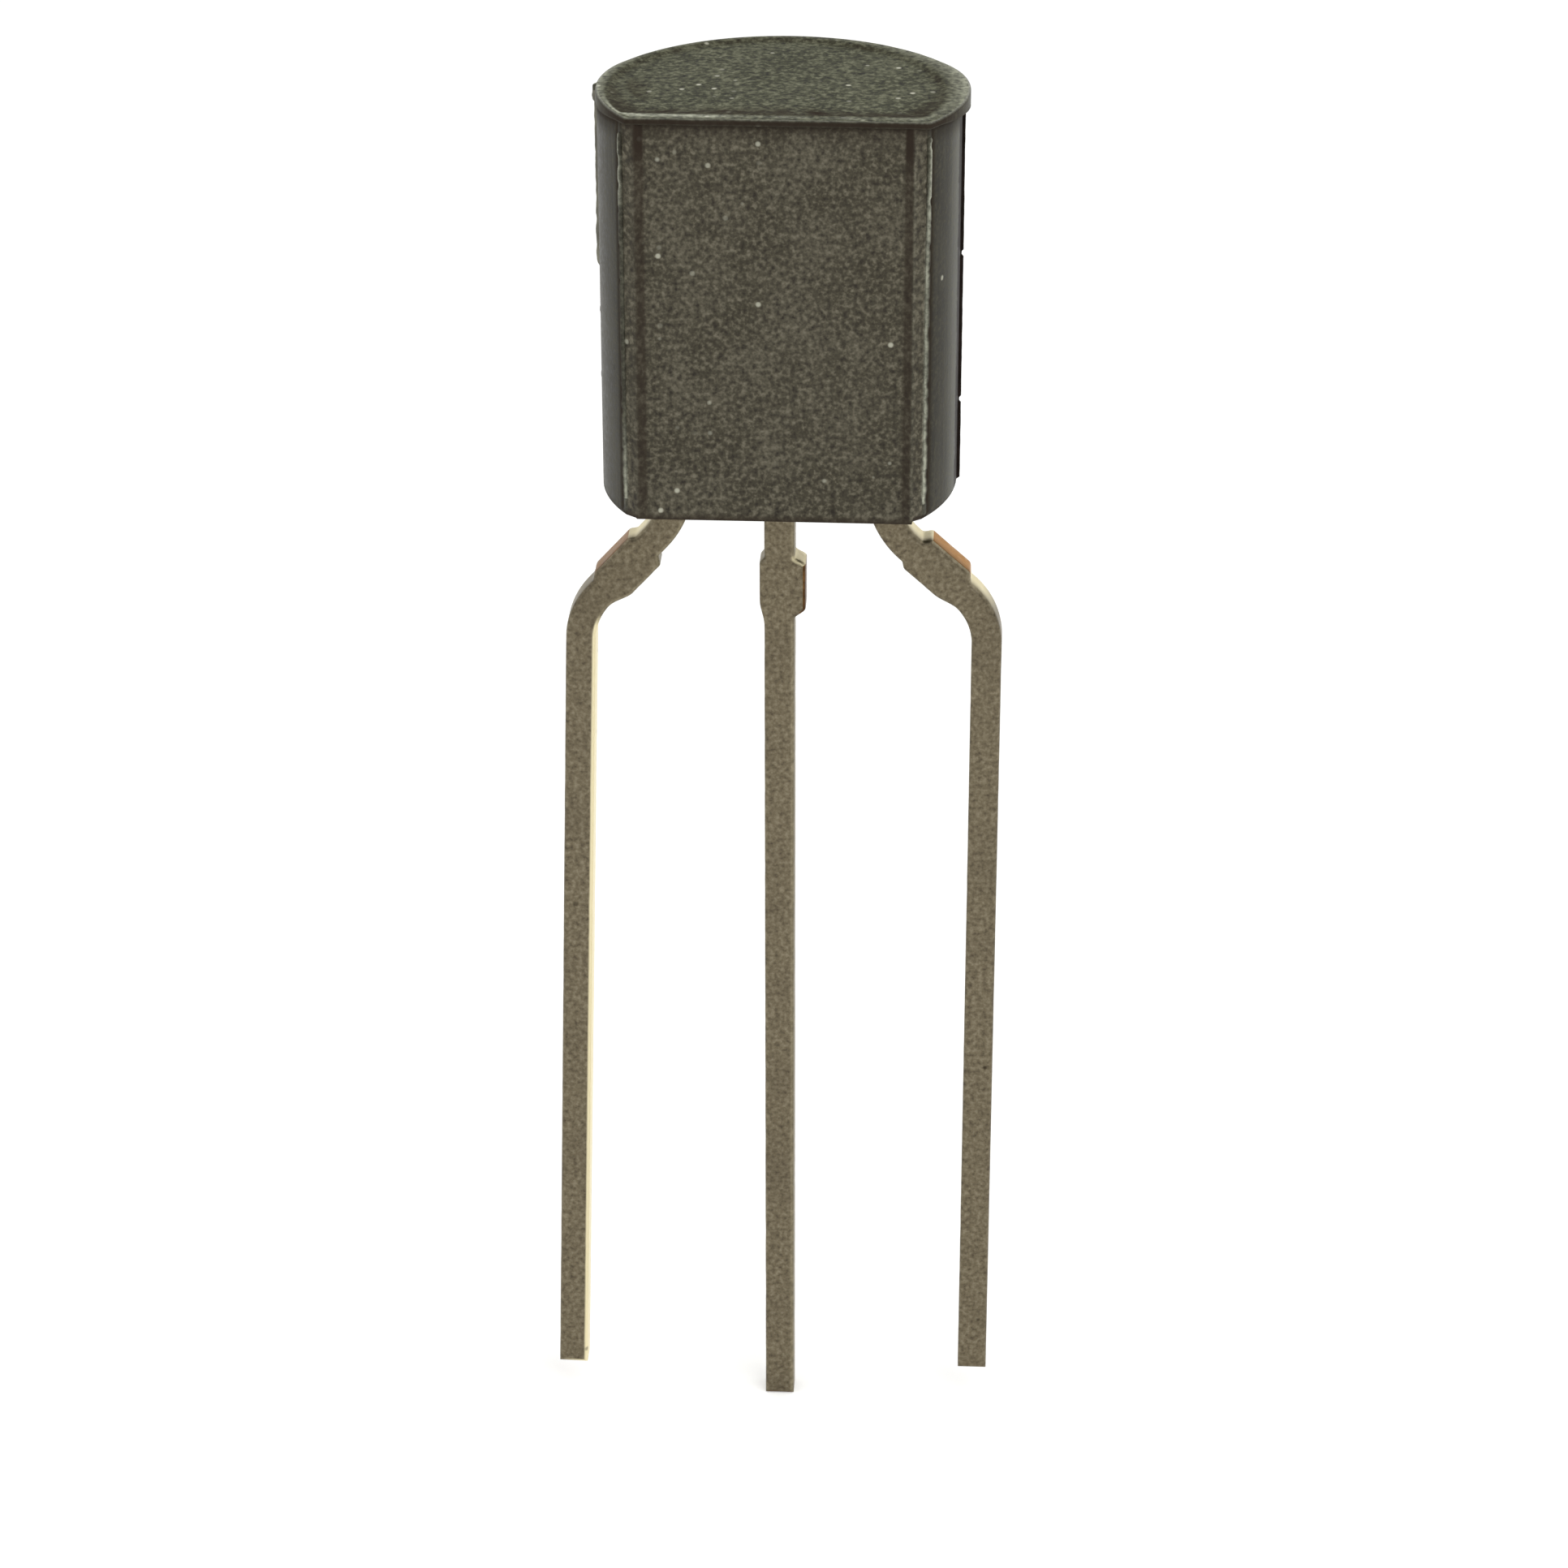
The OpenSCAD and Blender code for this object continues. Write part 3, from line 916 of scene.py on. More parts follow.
    def cap_corner(self, start: np.ndarray, end: np.ndarray, shares: np.ndarray) -> np.ndarray:
        """The cap's front corner, where the flat meets the round side, a little rounded.

        Args:
            start: Last point on the flat.
            end: First point on the round side.
            shares: Where each point falls between them, from 0 to 1.

        Returns:
            The points, one to a row.
        """
        tip = np.array([math.sqrt(self.cap_r ** 2 - self.front ** 2), -self.front])
        turn = math.atan2(tip[1], tip[0]) + self.cap_soft / self.cap_r
        after = arc(self.cap_r, np.linspace(turn, math.atan2(end[1], end[0]), 12))
        before = tip - np.array([self.cap_soft, 0.0])
        path = np.vstack([start, before, bezier(before, tip, after[0], 6), after[1:]])
        gone = np.concatenate([[0], np.cumsum(np.linalg.norm(np.diff(path, axis=0), axis=1))])
        return np.stack([np.interp(shares * gone[-1], gone, path[:, k]) for k in (0, 1)], 1)

    def trimmed(self, cap: np.ndarray) -> np.ndarray:
        """Draws the cap's outline in where the back's rounding cuts its whole side off.

        Args:
            cap: Rows of x and y of the cap's outline.

        Returns:
            The outline with those corners nearer to the middle.
        """
        clearance = 0.004
        least = self.ledge_z + self.rim_round + clearance
        middle = np.array([self.cap_shift, -self.back_fade])
        drop = self.top + self.back_cross - self.back_round - least
        far = self.cap_r + self.back_fade + self.back_cross - self.back_round
        far += math.sqrt(self.back_round ** 2 - drop ** 2)
        away = np.linalg.norm(cap - middle, axis=1)
        return middle + (cap - middle) * np.minimum(1.0, far / away)[:, None]

    def mark_painted_light(self) -> None:
        """Works out the painted highlight and shade that follow the outline."""
        x, y = self.base.T
        on_flank = self.marks == Stretch.FLANK
        self.bend = np.degrees(np.arctan2(y, np.abs(x)))
        edge = self.crest_half - 0.03
        self.groove = (self.ahead & ~self.is_bead) * (
            smooth_step(np.abs(x), self.floor_half - 0.035, self.floor_half + 0.01)
            * (1 - smooth_step(x, edge, edge + 0.035))
            * (1 - smooth_step(-x, edge, edge + 0.08))
        )
        self.crest = (self.ahead & ~self.is_bead) * (
            1 - smooth_step(np.abs(np.abs(x) - self.crest_half), 0.0, 0.03)
        )
        self.beside_bead = on_flank * (1 - smooth_step(self.bend, -32.5, -29.5))
        # The right flank gets a painted highlight beside the strip of painted shade.
        self.highlit = on_flank * (self.side > 0) * (
            smooth_step(self.bend, -22, -13) * (1 - smooth_step(self.bend, -11, -9))
        )

    def film_reach(self, z: np.ndarray, side: int) -> np.ndarray:
        """How far the film on the parting line stands out.

        Args:
            z: Heights in mm.
            side: 1 for the right side and -1 for the left.

        Returns:
            The reaches in mm.
        """
        reach = 1 - smooth_step(z, self.film_top - 0.02, self.film_top)
        if side > 0:
            reach *= self.right_film * smooth_step(z, *self.right_film_z)
            reach *= 0.93 + 0.07 * wander(z, 0.12, 4.0) + 0.06 * wander(z, 0.7, 9.0)
            for nick in self.nick_z:
                beside = smooth_step(np.abs(z - nick), *self.nick_half)
                reach *= 1 - self.nick_depth * (1 - beside)
        else:
            reach *= self.left_film * smooth_step(z, *self.left_film_z)
            reach *= 0.8 + 0.25 * wander(z, 0.11, 2.0) + 0.15 * wander(z, 0.4, 5.0)
            reach = np.minimum(reach, self.left_film)
            for middle, radius, out in self.scraps:
                rise = np.sqrt(np.maximum(radius ** 2 - (z - middle) ** 2, 0.0))
                reach = np.maximum(reach, out - radius + rise)
        return np.maximum(self.film_ridge, reach)

    def with_film(self, flat: np.ndarray, z: np.ndarray) -> np.ndarray:
        """Draws the film's corners out to its reach at their heights.

        Args:
            flat: Rows of x and y of a whole loop.
            z: Their heights.

        Returns:
            The rows with the film.
        """
        flat = flat.copy()
        for side in (1, -1):
            here = self.is_film & (self.side == side)
            out = np.abs(self.base[here, 0]) + self.film[here] * self.film_reach(z[here], side)
            flat[here, 0] = side * np.maximum(np.abs(flat[here, 0]), out)
        return flat

    def top_z(self, flat: np.ndarray) -> np.ndarray:
        """Height of the top's surface at rows of x and y: it rounds down towards the back.

        Args:
            flat: Rows of x and y.

        Returns:
            A height for each row.
        """
        drum = self.cap_r + self.back_fade + self.back_cross
        away = np.linalg.norm(flat - np.array([self.cap_shift, -self.back_fade]), axis=1)
        into = np.clip(away - drum + self.back_round, 0, self.back_round)
        drop = self.back_round - np.sqrt(self.back_round ** 2 - into ** 2)
        return np.minimum(self.top, self.top + self.back_cross - drop)

    def slots_at(self, z: np.ndarray, on_cap: bool = False) -> np.ndarray:
        """Material slots on the upright part of the case.

        Args:
            z: Height of each corner.
            on_cap: Whether the loop is on the cap.

        Returns:
            The slot of each corner's face.
        """
        slots = np.select(
            [np.full(len(z), on_cap), self.marks <= Stretch.LAND, self.is_bead],
            [CaseSlot.EDGE, CaseSlot.PANEL, CaseSlot.EDGE], CaseSlot.SIDE,
        )
        low = np.where(self.side > 0, self.right_film_z[0], self.left_film_z[0])
        stands = self.is_film & (z > low) & (z < self.film_top + 0.02)
        slots[stands & (self.side > 0)] = CaseSlot.DARK_FILM_AND_SHADE
        if not on_cap:
            # A strip of the right flank beside the film takes the black flash's finish, as
            # painted shade.
            edge = -self.shade_strip_deg - 1.2 * wander(z.mean(), 0.3, 6.6)
            shade_strip = (self.bend > edge) & (self.bend < 0) & (self.side > 0)
            slots[shade_strip & (z > low) & (z < self.film_top)] = CaseSlot.DARK_FILM_AND_SHADE
        slots[stands & (self.side < 0)] = CaseSlot.PALE_FILM
        return slots

    def upright(
        self, front_z: float, bead: float, share: float = 0.0, lift: float = 0.0
    ) -> Ring:
        """One loop on the upright part of the case.

        Args:
            front_z: Height at the front; near the cap the loop runs lower round the back.
            bead: How full the beads are.
            share: How far out the loop is from the body to the cap.
            lift: Extra height.

        Returns:
            The loop.
        """
        steep = (self.lip_z - self.ledge_z) / (self.lip_z - self.dip_z)
        z = front_z - max(front_z - self.dip_z, 0.0) * steep * self.fall + lift
        right = self.side > 0
        loss, size = self.bead_wave
        swell = np.where(right, *(
            1 - loss * smooth_step(wander(front_z, size, seed), -0.05, 0.5)
            for seed in self.seeds
        ))
        mix = np.where(self.is_bead, bead * swell, 0.0)[:, None]
        level = 1 - smooth_step(front_z, *self.flush_z)
        flat = self.base * (1 - level) + self.flush * level
        flat = flat * (1 - mix) + self.beaded * mix
        flat = flat * (1 - share) + self.cap * share
        height, size = self.front_wave
        waves = height * (1 + wander(flat[self.flat_front, 0], size, 3.3))
        flat[self.flat_front, 1] += share * waves

        # Painted highlight on the beads, the crests and the right flank.
        loss, size = self.shine_wave
        bright = bead * np.where(right, *(
            between(knots, front_z)
            * (1 - loss + loss * smooth_step(wander(front_z, size, seed + 2), -0.35, 0.25))
            for knots, seed in zip(self.shine, self.seeds)
        ))
        off_middle = self.bead_place - between(self.shine_middle, front_z)
        wear = bright * np.exp(-(off_middle / self.shine_half) ** 2) + (1 - share) * (
            self.crest_highlight * self.crest + self.flank_highlight * self.highlit
        )

        # Painted shade under the lip, in the grooves, beside the beads and at the foot.
        gap = z - (self.lip_z - (self.lip_z - self.ledge_z) * self.fall)
        under_lip = sum(
            shade_share * smooth_step(gap, far, near) for shade_share, far, near in self.lip_shade
        )
        low, high = self.groove_shade
        groove = low + (high - low) * smooth_step(front_z, *self.groove_z)
        at_foot = 1 - smooth_step(front_z, self.bottom, self.bottom + self.foot_run)
        painted_shade = np.maximum.reduce([
            groove * self.groove * (1 - share) * (1 - 0.5 * level),
            self.bead_shade[0] * self.beside_bead,
            self.bead_shade[1] * self.is_bead * bead * np.clip(1.3 * off_middle - 0.5, 0, 1),
            under_lip * (1 - 0.25 * share),
            at_foot * np.where(self.ahead, self.foot_shade[0], self.foot_shade[2]),
        ])
        return Ring.at(self.with_film(flat, z), z, np.clip(wear, 0, 1),
                       np.clip(painted_shade, 0, 1), self.slots_at(z, share > 0))

    def underside(self) -> list[Ring]:
        """The loops of the underside and of its moulded edge.

        Returns:
            The loops, outwards and up.
        """
        span = np.linalg.norm(self.flush, axis=1)
        less, more = self.foot_round
        foot_r = np.where(
            self.flat_front, self.front_round,
            less + (more - less) * smooth_step(self.base[:, 0], -1.5, 1.5),
        )
        inset = (1 - foot_r / span)[:, None]
        # Painted shade on the underside and on its moulded edge.
        rings = [
            Ring.at(self.flush * inset * share, self.bottom, 0, self.base_shade, CaseSlot.SIDE)
            for share in np.linspace(0.03, 1, 14)
        ]
        for turn in np.radians([15, 30, 45, 60, 75]):
            shrink = (1 - foot_r * (1 - math.sin(turn)) / span)[:, None]
            height = self.bottom + foot_r * (1 - math.cos(turn))
            painted_shade = np.where(self.ahead, *self.foot_shade[1:])
            rings.append(Ring.at(self.flush * shrink, height, 0, painted_shade, self.slots_at(height)))
        return rings

    def wall(self) -> list[Ring]:
        """The loops of the upright side, as far as the cap.

        Returns:
            The loops, upwards.
        """
        full = self.bead_high - self.bead_r
        heights = list(np.linspace(self.bottom + self.foot_round[1] + 0.002, full,
                                   self.side_rings))
        for nick in self.nick_z:
            heights += [nick + way * half for way in (-1, 1) for half in self.nick_half]
        heights += [self.bead_low + rise for rise in (0.0, 0.004, 0.011, 0.022)]
        rings = []
        for z in sorted({round(float(height), 4) for height in heights}):
            start = min(max((z - self.bead_low) / self.bead_r, 0.0), 1.0)
            rings.append(self.upright(z, math.sqrt(1 - (1 - start) ** 2)))
        for gone in (0.05, 0.2, 0.45, 0.7, 0.9, 1.0):
            z = self.bead_high - self.bead_r * (1 - math.sqrt(gone))
            rings.append(self.upright(z, math.sqrt(1 - gone)))
        for z in np.linspace(self.bead_high + 0.015, self.lip_z, 9):
            rings.append(self.upright(float(z), 0.0))
        return rings

    def cap_side(self) -> list[Ring]:
        """The loops of the cap's underside, of its side and of its rounded edge.

        Returns:
            The loops, outwards and up.
        """
        rings = [
            self.upright(self.lip_z, 0.0, share, lift)
            for share, lift in ((0.4, 0.0), (0.8, 0.0), (0.94, 0.002), (1.0, 0.008))
        ]
        tangent = np.roll(self.cap, -1, 0) - np.roll(self.cap, 1, 0)
        outward = unit(np.stack([tangent[:, 1], -tangent[:, 0]], 1))
        edge, low = rings[-1].points[:, :2], rings[-1].points[:, 2]
        high = self.top_z(edge - outward * self.rim_round) - self.rim_waves()
        # Painted shade on the cap's front face, and a painted highlight where its rounded edge
        # turns up to the top.
        shade = self.front_shade * (1 - self.fall)
        for share in (0.33, 0.66, 1.0):
            z = low + (high - self.rim_round - low) * share
            rings.append(Ring.at(self.with_film(edge, z), z, self.cap_highlight, shade,
                                 self.slots_at(z, True)))
        for turn in np.radians([15, 30, 45, 60, 75, 90]):
            flat = edge - outward * (self.rim_round * (1 - math.cos(turn)))
            z = high - self.rim_round * (1 - math.sin(turn))
            lit = math.sin(turn) ** 2
            rings.append(Ring.at(self.with_film(flat, z), z, lit * (0.15 + 0.25 * self.fall),
                                 shade * (1 - lit), self.slots_at(z, True)))
        return rings

    def rim_waves(self) -> np.ndarray:
        """How much lower than plain the rim is at each corner of the cap.

        Returns:
            A depth for each corner.
        """
        height, size = self.rim_wave
        x, y = self.cap.T
        return height * (0.5 + 0.5 * wander(x * 1.3 + y, size, 6.1))

    def top_face(self, outer: np.ndarray) -> list[Ring]:
        """The loops of the rim and of the dish inside it.

        Args:
            outer: The rim's outer edge, as rows of x and y.

        Returns:
            The loops, ending near the dish's middle.
        """
        rings = []
        dish = self.dish_edge(outer)
        # Painted highlight along the front of the rim and round its back; painted shade towards
        # and in the dish.
        everywhere, left, patches = self.front_highlight
        highlit = (1 - self.fall) ** 2 * (
            everywhere + left * smooth_step(-outer[:, 0], 0.3, 1.2)
            + patches * wander(outer[:, 0], 0.21, 2.2)
        )
        for share, front_highlight in self.rim_loops:
            flat = outer * (1 - share) + dish * share
            z = self.top_z(flat) - self.rim_waves() * (1 - share) - 0.002 * share
            wear = np.clip(highlit * front_highlight + self.rim_highlight * (1 - share) * self.fall, 0, 1)
            shade_share = 0.15 * share + 2.0 * (1 - self.fall) * max(share - 0.75, 0.0)
            rings.append(Ring.at(flat, z, wear, shade_share, CaseSlot.TOP))
        x, y = dish.T
        patchy = (1 - 0.5 * self.fall) * (0.8 + 0.6 * wander(x * 1.3 + y, 0.28, 4.4))
        for inward, drop, shade_share in self.dish_loops:
            reach = inward * (2.6 - 1.6 * self.fall) / np.linalg.norm(self.hub - dish, axis=1)
            flat = dish + (self.hub - dish) * reach[:, None]
            rings.append(Ring.at(flat, self.top - drop * self.dish_depth, 0,
                                 np.clip(shade_share * patchy, 0, 1), CaseSlot.TOP))
        edge = rings[-1].points[:, :2]
        for share in 1 - np.linspace(0, 1, 30)[1:-1] ** 0.9:
            flat = self.hub + (edge - self.hub) * share
            away = (flat - np.array(self.scar_at)) * np.array(self.scar_stretch)
            torn = 1 - smooth_step(np.linalg.norm(away, axis=1), *self.scar_r)
            z = self.top - self.dish_depth - 0.002 * (1 - share ** 2)
            z -= self.scar_depth * torn * (1 + wander(flat[:, 0] * 9, 1.0, flat[:, 1] * 1.7))
            rings.append(Ring.at(flat, z, 0, 0.5 * torn, CaseSlot.TOP))
        return rings

    def dish_edge(self, outer: np.ndarray) -> np.ndarray:
        """The dish's edge on the way in from each point of the rim's outer edge.

        Args:
            outer: Rows of x and y.

        Returns:
            Rows of x and y, one for each.
        """
        way = unit(outer - self.hub)
        offset = self.hub - np.array(self.dish_at)
        along = way @ offset
        to_circle = -along + np.sqrt(along ** 2 + self.dish_r ** 2 - offset @ offset)
        to_front = (self.dish_front - self.hub[1]) / np.minimum(way[:, 1], -1e-6)
        close = np.maximum(self.dish_soft - np.abs(to_circle - to_front), 0.0)
        reach = np.minimum(to_circle, to_front) - close ** 2 / (4 * self.dish_soft)
        wobble = 1 + 0.004 * wander(np.arctan2(way[:, 1], way[:, 0]) * 2, 0.3, 8.0)
        return self.hub + way * (reach * np.minimum(wobble, 1.0))[:, None]

    def build(self, materials: Sequence[Material]) -> bpy.types.Object:
        """Skins the loops into one closed mesh and dresses it.

        Args:
            materials: Materials in the order of CaseSlot.

        Returns:
            The case's object.
        """
        rings = self.underside() + self.wall() + self.cap_side()
        rings += self.top_face(rings[-1].points[:, :2])
        count = len(self.base)
        ends = [rings[0].points.mean(0), rings[-1].points.mean(0)]
        vertices = np.concatenate([ring.points for ring in rings] + [ends])
        values = {
            label: np.concatenate([getattr(ring, label) for ring in rings] + [[0.0, 0.0]])
            for label in ("wear", "painted_shade")
        }
        faces: list[Sequence[int]] = []
        slots: list[int] = []
        around = np.arange(count)
        after = (around + 1) % count
        # A face takes the slot of the corner further back on the case, on both sides.
        owner = np.where(around < self.half_count - 1, after, around)
        for level, upper in enumerate(rings[1:]):
            low, high = level * count, (level + 1) * count
            faces += np.stack(
                [low + around, low + after, high + after, high + around], 1
            ).tolist()
            slots += upper.slots[owner].tolist()
        under, over = len(vertices) - 2, len(vertices) - 1
        last = (len(rings) - 1) * count
        for k, n in zip(around.tolist(), after.tolist()):
            faces += [(under, n, k), (over, last + k, last + n)]
            slots += [CaseSlot.SIDE, CaseSlot.TOP]
        piece = write_mesh("epoxy_case", vertices, faces, slots, materials, values, 50)
        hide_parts("epoxy_body")
        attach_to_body(piece, "root")
        return piece


# ---------- The leads ----------


class Lead(Enum):
    """The three leads, left to right as the flat side is seen."""

    EMITTER = "emitter_lead"
    BASE = "base_lead"
    COLLECTOR = "collector_lead"


class LeadSlot(IntEnum):
    """Material slots of a lead."""

    TIN = 0
    SHEARED = 1


@dataclass(frozen=True)
class LeadPath:
    """Middle line of a lead: stretches of length and turn, from the case downwards."""

    start: tuple[float, float]
    stretches: tuple[tuple[float, float], ...]

    def walk(self, distance: float) -> tuple[np.ndarray, float]:
        """Where the line is, and how it heads, at a distance along it.

        Args:
            distance: Distance from the case in mm.

        Returns:
            The point (x, z), and the heading in radians, 0 straight down and positive
            towards +x.
        """
        at = np.array(self.start, float)
        heading = 0.0
        left = distance
        for length, turn_deg in self.stretches:
            gone = min(left, length)
            turn = math.radians(turn_deg) * gone / length
            middle = heading + turn / 2
            chord = gone * np.sinc(turn / 2 / math.pi)
            at = at + chord * np.array([math.sin(middle), -math.cos(middle)])
            heading += turn
            left -= gone
        return at, heading


@dataclass(frozen=True)
class EdgeLoop:
    """A counter-clockwise loop of the lead's edge seen from the flat side.

    Each point (x, z) has: whether the die sheared there, how strong the painted highlight on
    the side face is, and whether that highlight wraps over the front edge.
    """

    points: np.ndarray
    sheared: np.ndarray
    bright: np.ndarray
    wraps: np.ndarray


@dataclass
class FormedLead:
    """One lead: its anchor inside the case, its formed outer part and its tie-bar stubs."""

    role: Lead
    exit_x: float
    leg_x: float
    splay_deg: float
    # Left, low, right and high edge of the head inside the case.
    head: tuple[float, float, float, float]
    seed: float
    # Middle and radius of the anchor hole in the head.
    hole: tuple[float, float, float] | None = None
    bend_deg: float = 42.0
    width: float = 0.385
    thickness: float = 0.38
    exit_z: float = 2.2
    cut_length: float = 13.5
    upper_r: float = 1.15
    knee_r: float = 0.9
    # Height and length of the ripples in the edges, and how the side shifts their seed.
    ripples: tuple[tuple[float, float, int], ...] = ((0.0035, 0.3, 1), (0.002, 0.07, 3))
    # The steps between stations: at the stubs, beside them, and coarse ones further down.
    # The fine steps reach past the stubs above and below.
    steps: tuple[float, float, float] = (0.018, 0.04, 0.09)
    fine_reach: tuple[float, float] = (0.15, 0.25)
    coarse_from: float = 3.0
    # The stubs of the tie bar. The foot is short on the side where the copper shows.
    stub_start: float = 1.09
    stub_h: float = 0.68
    stub_left: float = 0.06
    stub_right: float = 0.1
    shoulder: float = 0.11
    foot: tuple[float, float] = (0.36, 0.15)
    notch_z: float = 2.75
    notch: float = 0.07
    corner_r: float = 0.1
    front_edge_r: float = 0.055
    back_edge_r: float = 0.03
    # Side on which the die bared copper, 0 for neither, and the rows of the edge's profile
    # where it did.
    copper: int = 0
    shear_rows: tuple[int, int] = (3, 8)
    # How strong the painted highlight on each side face is along the lead.
    left_bright: Knots = ((0.0, 0.1),)
    right_bright: Knots = ((0.0, 0.1),)
    # How that spreads over the edge's profile, front to back; on the wrapped side it comes
    # round the front edge too.
    wrapped: int = 0
    edge_glow: tuple[float, ...] = (0, 0, 0.05, 0.15, 0.4, 0.8, 1, 1, 1, 1, 0.5, 0)
    wrapped_glow: tuple[float, ...] = (0, 0.85, 1, 1, 1, 1, 1, 1, 1, 1, 0.5, 0)

    def path(self) -> LeadPath:
        """The lead's middle line outside the case.

        Returns:
            Its start and its stretches.
        """
        start = (self.exit_x, self.exit_z)
        if self.exit_x == 0:
            return LeadPath(start, ((self.cut_length, 0.0),))
        side = math.copysign(1, self.exit_x)
        bend, splay = math.radians(self.bend_deg), math.radians(self.splay_deg)
        upper = self.upper_r * bend
        knee = self.knee_r * (bend - splay)
        reach = self.upper_r * (1 - math.cos(bend))
        reach += self.knee_r * (math.cos(splay) - math.cos(bend))
        slant = (abs(self.leg_x) - abs(self.exit_x) - reach) / math.sin(bend)
        return LeadPath(start, (
            (upper, side * self.bend_deg),
            (slant, 0.0),
            (knee, side * (self.splay_deg - self.bend_deg)),
            (self.cut_length - upper - slant - knee, 0.0),
        ))

    def half_width(self, distance: float, side: int) -> float:
        """Distance of one edge from the middle line, with the tie bar's stub and ripples.

        Args:
            distance: Distance along the lead.
            side: 1 for the right side and -1 for the left.

        Returns:
            The distance in mm.
        """
        low, high = self.stub_start, self.stub_start + self.stub_h
        rise = smooth_step(distance, low - self.shoulder, low)
        foot = self.foot[side == self.copper]
        fall = 1 - smooth_step(distance, high - 0.5 * foot, high + 0.5 * foot)
        half = self.width / 2 + (self.stub_right if side > 0 else self.stub_left) * rise * fall
        if distance <= 0.05:
            return half
        ripple = sum(
            height * wander(distance, size, self.seed + turns * side)
            for height, size, turns in self.ripples
        )
        return half + min(float(ripple), 0.0)

    def stations(self) -> list[float]:
        """Distances along the lead at which its edges are drawn, closest at the stubs.

        Returns:
            The distances, downwards.
        """
        above, below = self.fine_reach
        fine_from, fine_to = self.stub_start - above, self.stub_start + self.stub_h + below
        fine, middling, coarse = self.steps
        spans = (
            (0, fine_from, middling), (fine_from, fine_to, fine),
            (fine_to, self.coarse_from, middling),
            (self.coarse_from, self.cut_length - 0.05, coarse),
        )
        tiny = 1e-6
        return [
            float(place) for low, high, step in spans
            for place in np.arange(low, high - tiny, step)
        ] + [self.cut_length]

    def outline(self) -> EdgeLoop:
        """The lead's whole edge: down the left, up the right and round the anchor.

        Returns:
            The closed edge.
        """
        path = self.path()
        rows: dict[int, list[tuple]] = {-1: [], 1: []}
        for distance in self.stations():
            at, heading = path.walk(distance)
            across = np.array([math.cos(heading), math.sin(heading)])
            cut = -0.01 < distance - self.stub_start < self.stub_h + 0.01
            end = distance >= self.cut_length
            for side, bright in ((-1, self.left_bright), (1, self.right_bright)):
                rows[side].append((
                    at + side * self.half_width(distance, side) * across,
                    cut and side == self.copper or end,
                    between(bright, distance),
                    side == self.wrapped,
                ))
        inner = [(point, False, 0.0, False) for point in self.anchor()]
        columns = zip(*(rows[-1] + rows[1][::-1] + inner))
        return EdgeLoop(*(np.array(column) for column in columns))

    def anchor(self) -> list[np.ndarray]:
        """The part inside the case, from the right edge of the exit round to the left.

        Returns:
            Points of x and z.
        """
        left, low, right, high = self.head
        radius = self.corner_r
        stem_left = self.exit_x - self.width / 2
        stem_right = self.exit_x + self.width / 2
        corners = (
            (right - radius, low + radius, -90), (right - radius, high - radius, 0),
            (left + radius, high - radius, 90), (left + radius, low + radius, 180),
        )
        loop = np.vstack([
            (x, z) + arc(radius, np.radians(start + np.linspace(0, 90, 7)))
            for x, z, start in corners
        ])

        def on_head(x: float) -> np.ndarray:
            """The point of the head's lower edge at an x."""
            inner = max(left + radius - x, x - right + radius, 0.0)
            return np.array([x, low + radius - math.sqrt(max(radius ** 2 - inner ** 2, 0.0))])

        in_stem = (loop[:, 1] < low + radius) & (
            (stem_left - 1e-6 <= loop[:, 0]) & (loop[:, 0] <= stem_right + 1e-6)
        )
        return [
            *self.notched(stem_right, 1), on_head(stem_right), *loop[~in_stem],
            on_head(stem_left), *self.notched(stem_left, -1)[::-1],
        ]

    def notched(self, x: float, side: int) -> np.ndarray:
        """The locking notch in one edge of the stem.

        Args:
            x: Where the edge is.
            side: 1 for the right edge and -1 for the left.

        Returns:
            The points (x, z), upwards.
        """
        radius = 2 * self.notch
        half = math.asin(math.sqrt(radius ** 2 - self.notch ** 2) / radius)
        middle = np.array([x + side * self.notch, self.notch_z])
        return middle + arc(radius, np.linspace(-half, half, 9)) * (-side, 1)

    def edge_profile(self) -> list[tuple[float, float]]:
        """The rounded section of the lead's edge, as inset and y, front to back.

        Returns:
            Pairs of inset and y.
        """
        front, back, half = self.front_edge_r, self.back_edge_r, self.thickness / 2
        rows = []
        for turn in np.radians([90, 68, 45, 22, 0]):
            rows.append((front * (1 - math.cos(turn)), -half + front * (1 - math.sin(turn))))
        for share in (0.25, 0.5, 0.75):
            rows.append((0.0, -half + front + share * (2 * half - front - back)))
        for turn in np.radians([0, 30, 60, 90]):
            rows.append((back * (1 - math.cos(turn)), half - back * (1 - math.sin(turn))))
        return rows

    @staticmethod
    def inward(points: np.ndarray) -> np.ndarray:
        """Direction and length of a unit inset at each corner of a counter-clockwise loop.

        Args:
            points: Rows of x and z of the loop.

        Returns:
            A vector for each corner.
        """
        before = unit(points - np.roll(points, 1, 0))
        after = unit(np.roll(points, -1, 0) - points)
        left_before, left_after = (
            np.stack([-way[:, 1], way[:, 0]], 1) for way in (before, after)
        )
        middle = unit(left_before + left_after)
        return middle / np.clip((middle * left_before).sum(1), 0.5, 1)[:, None]

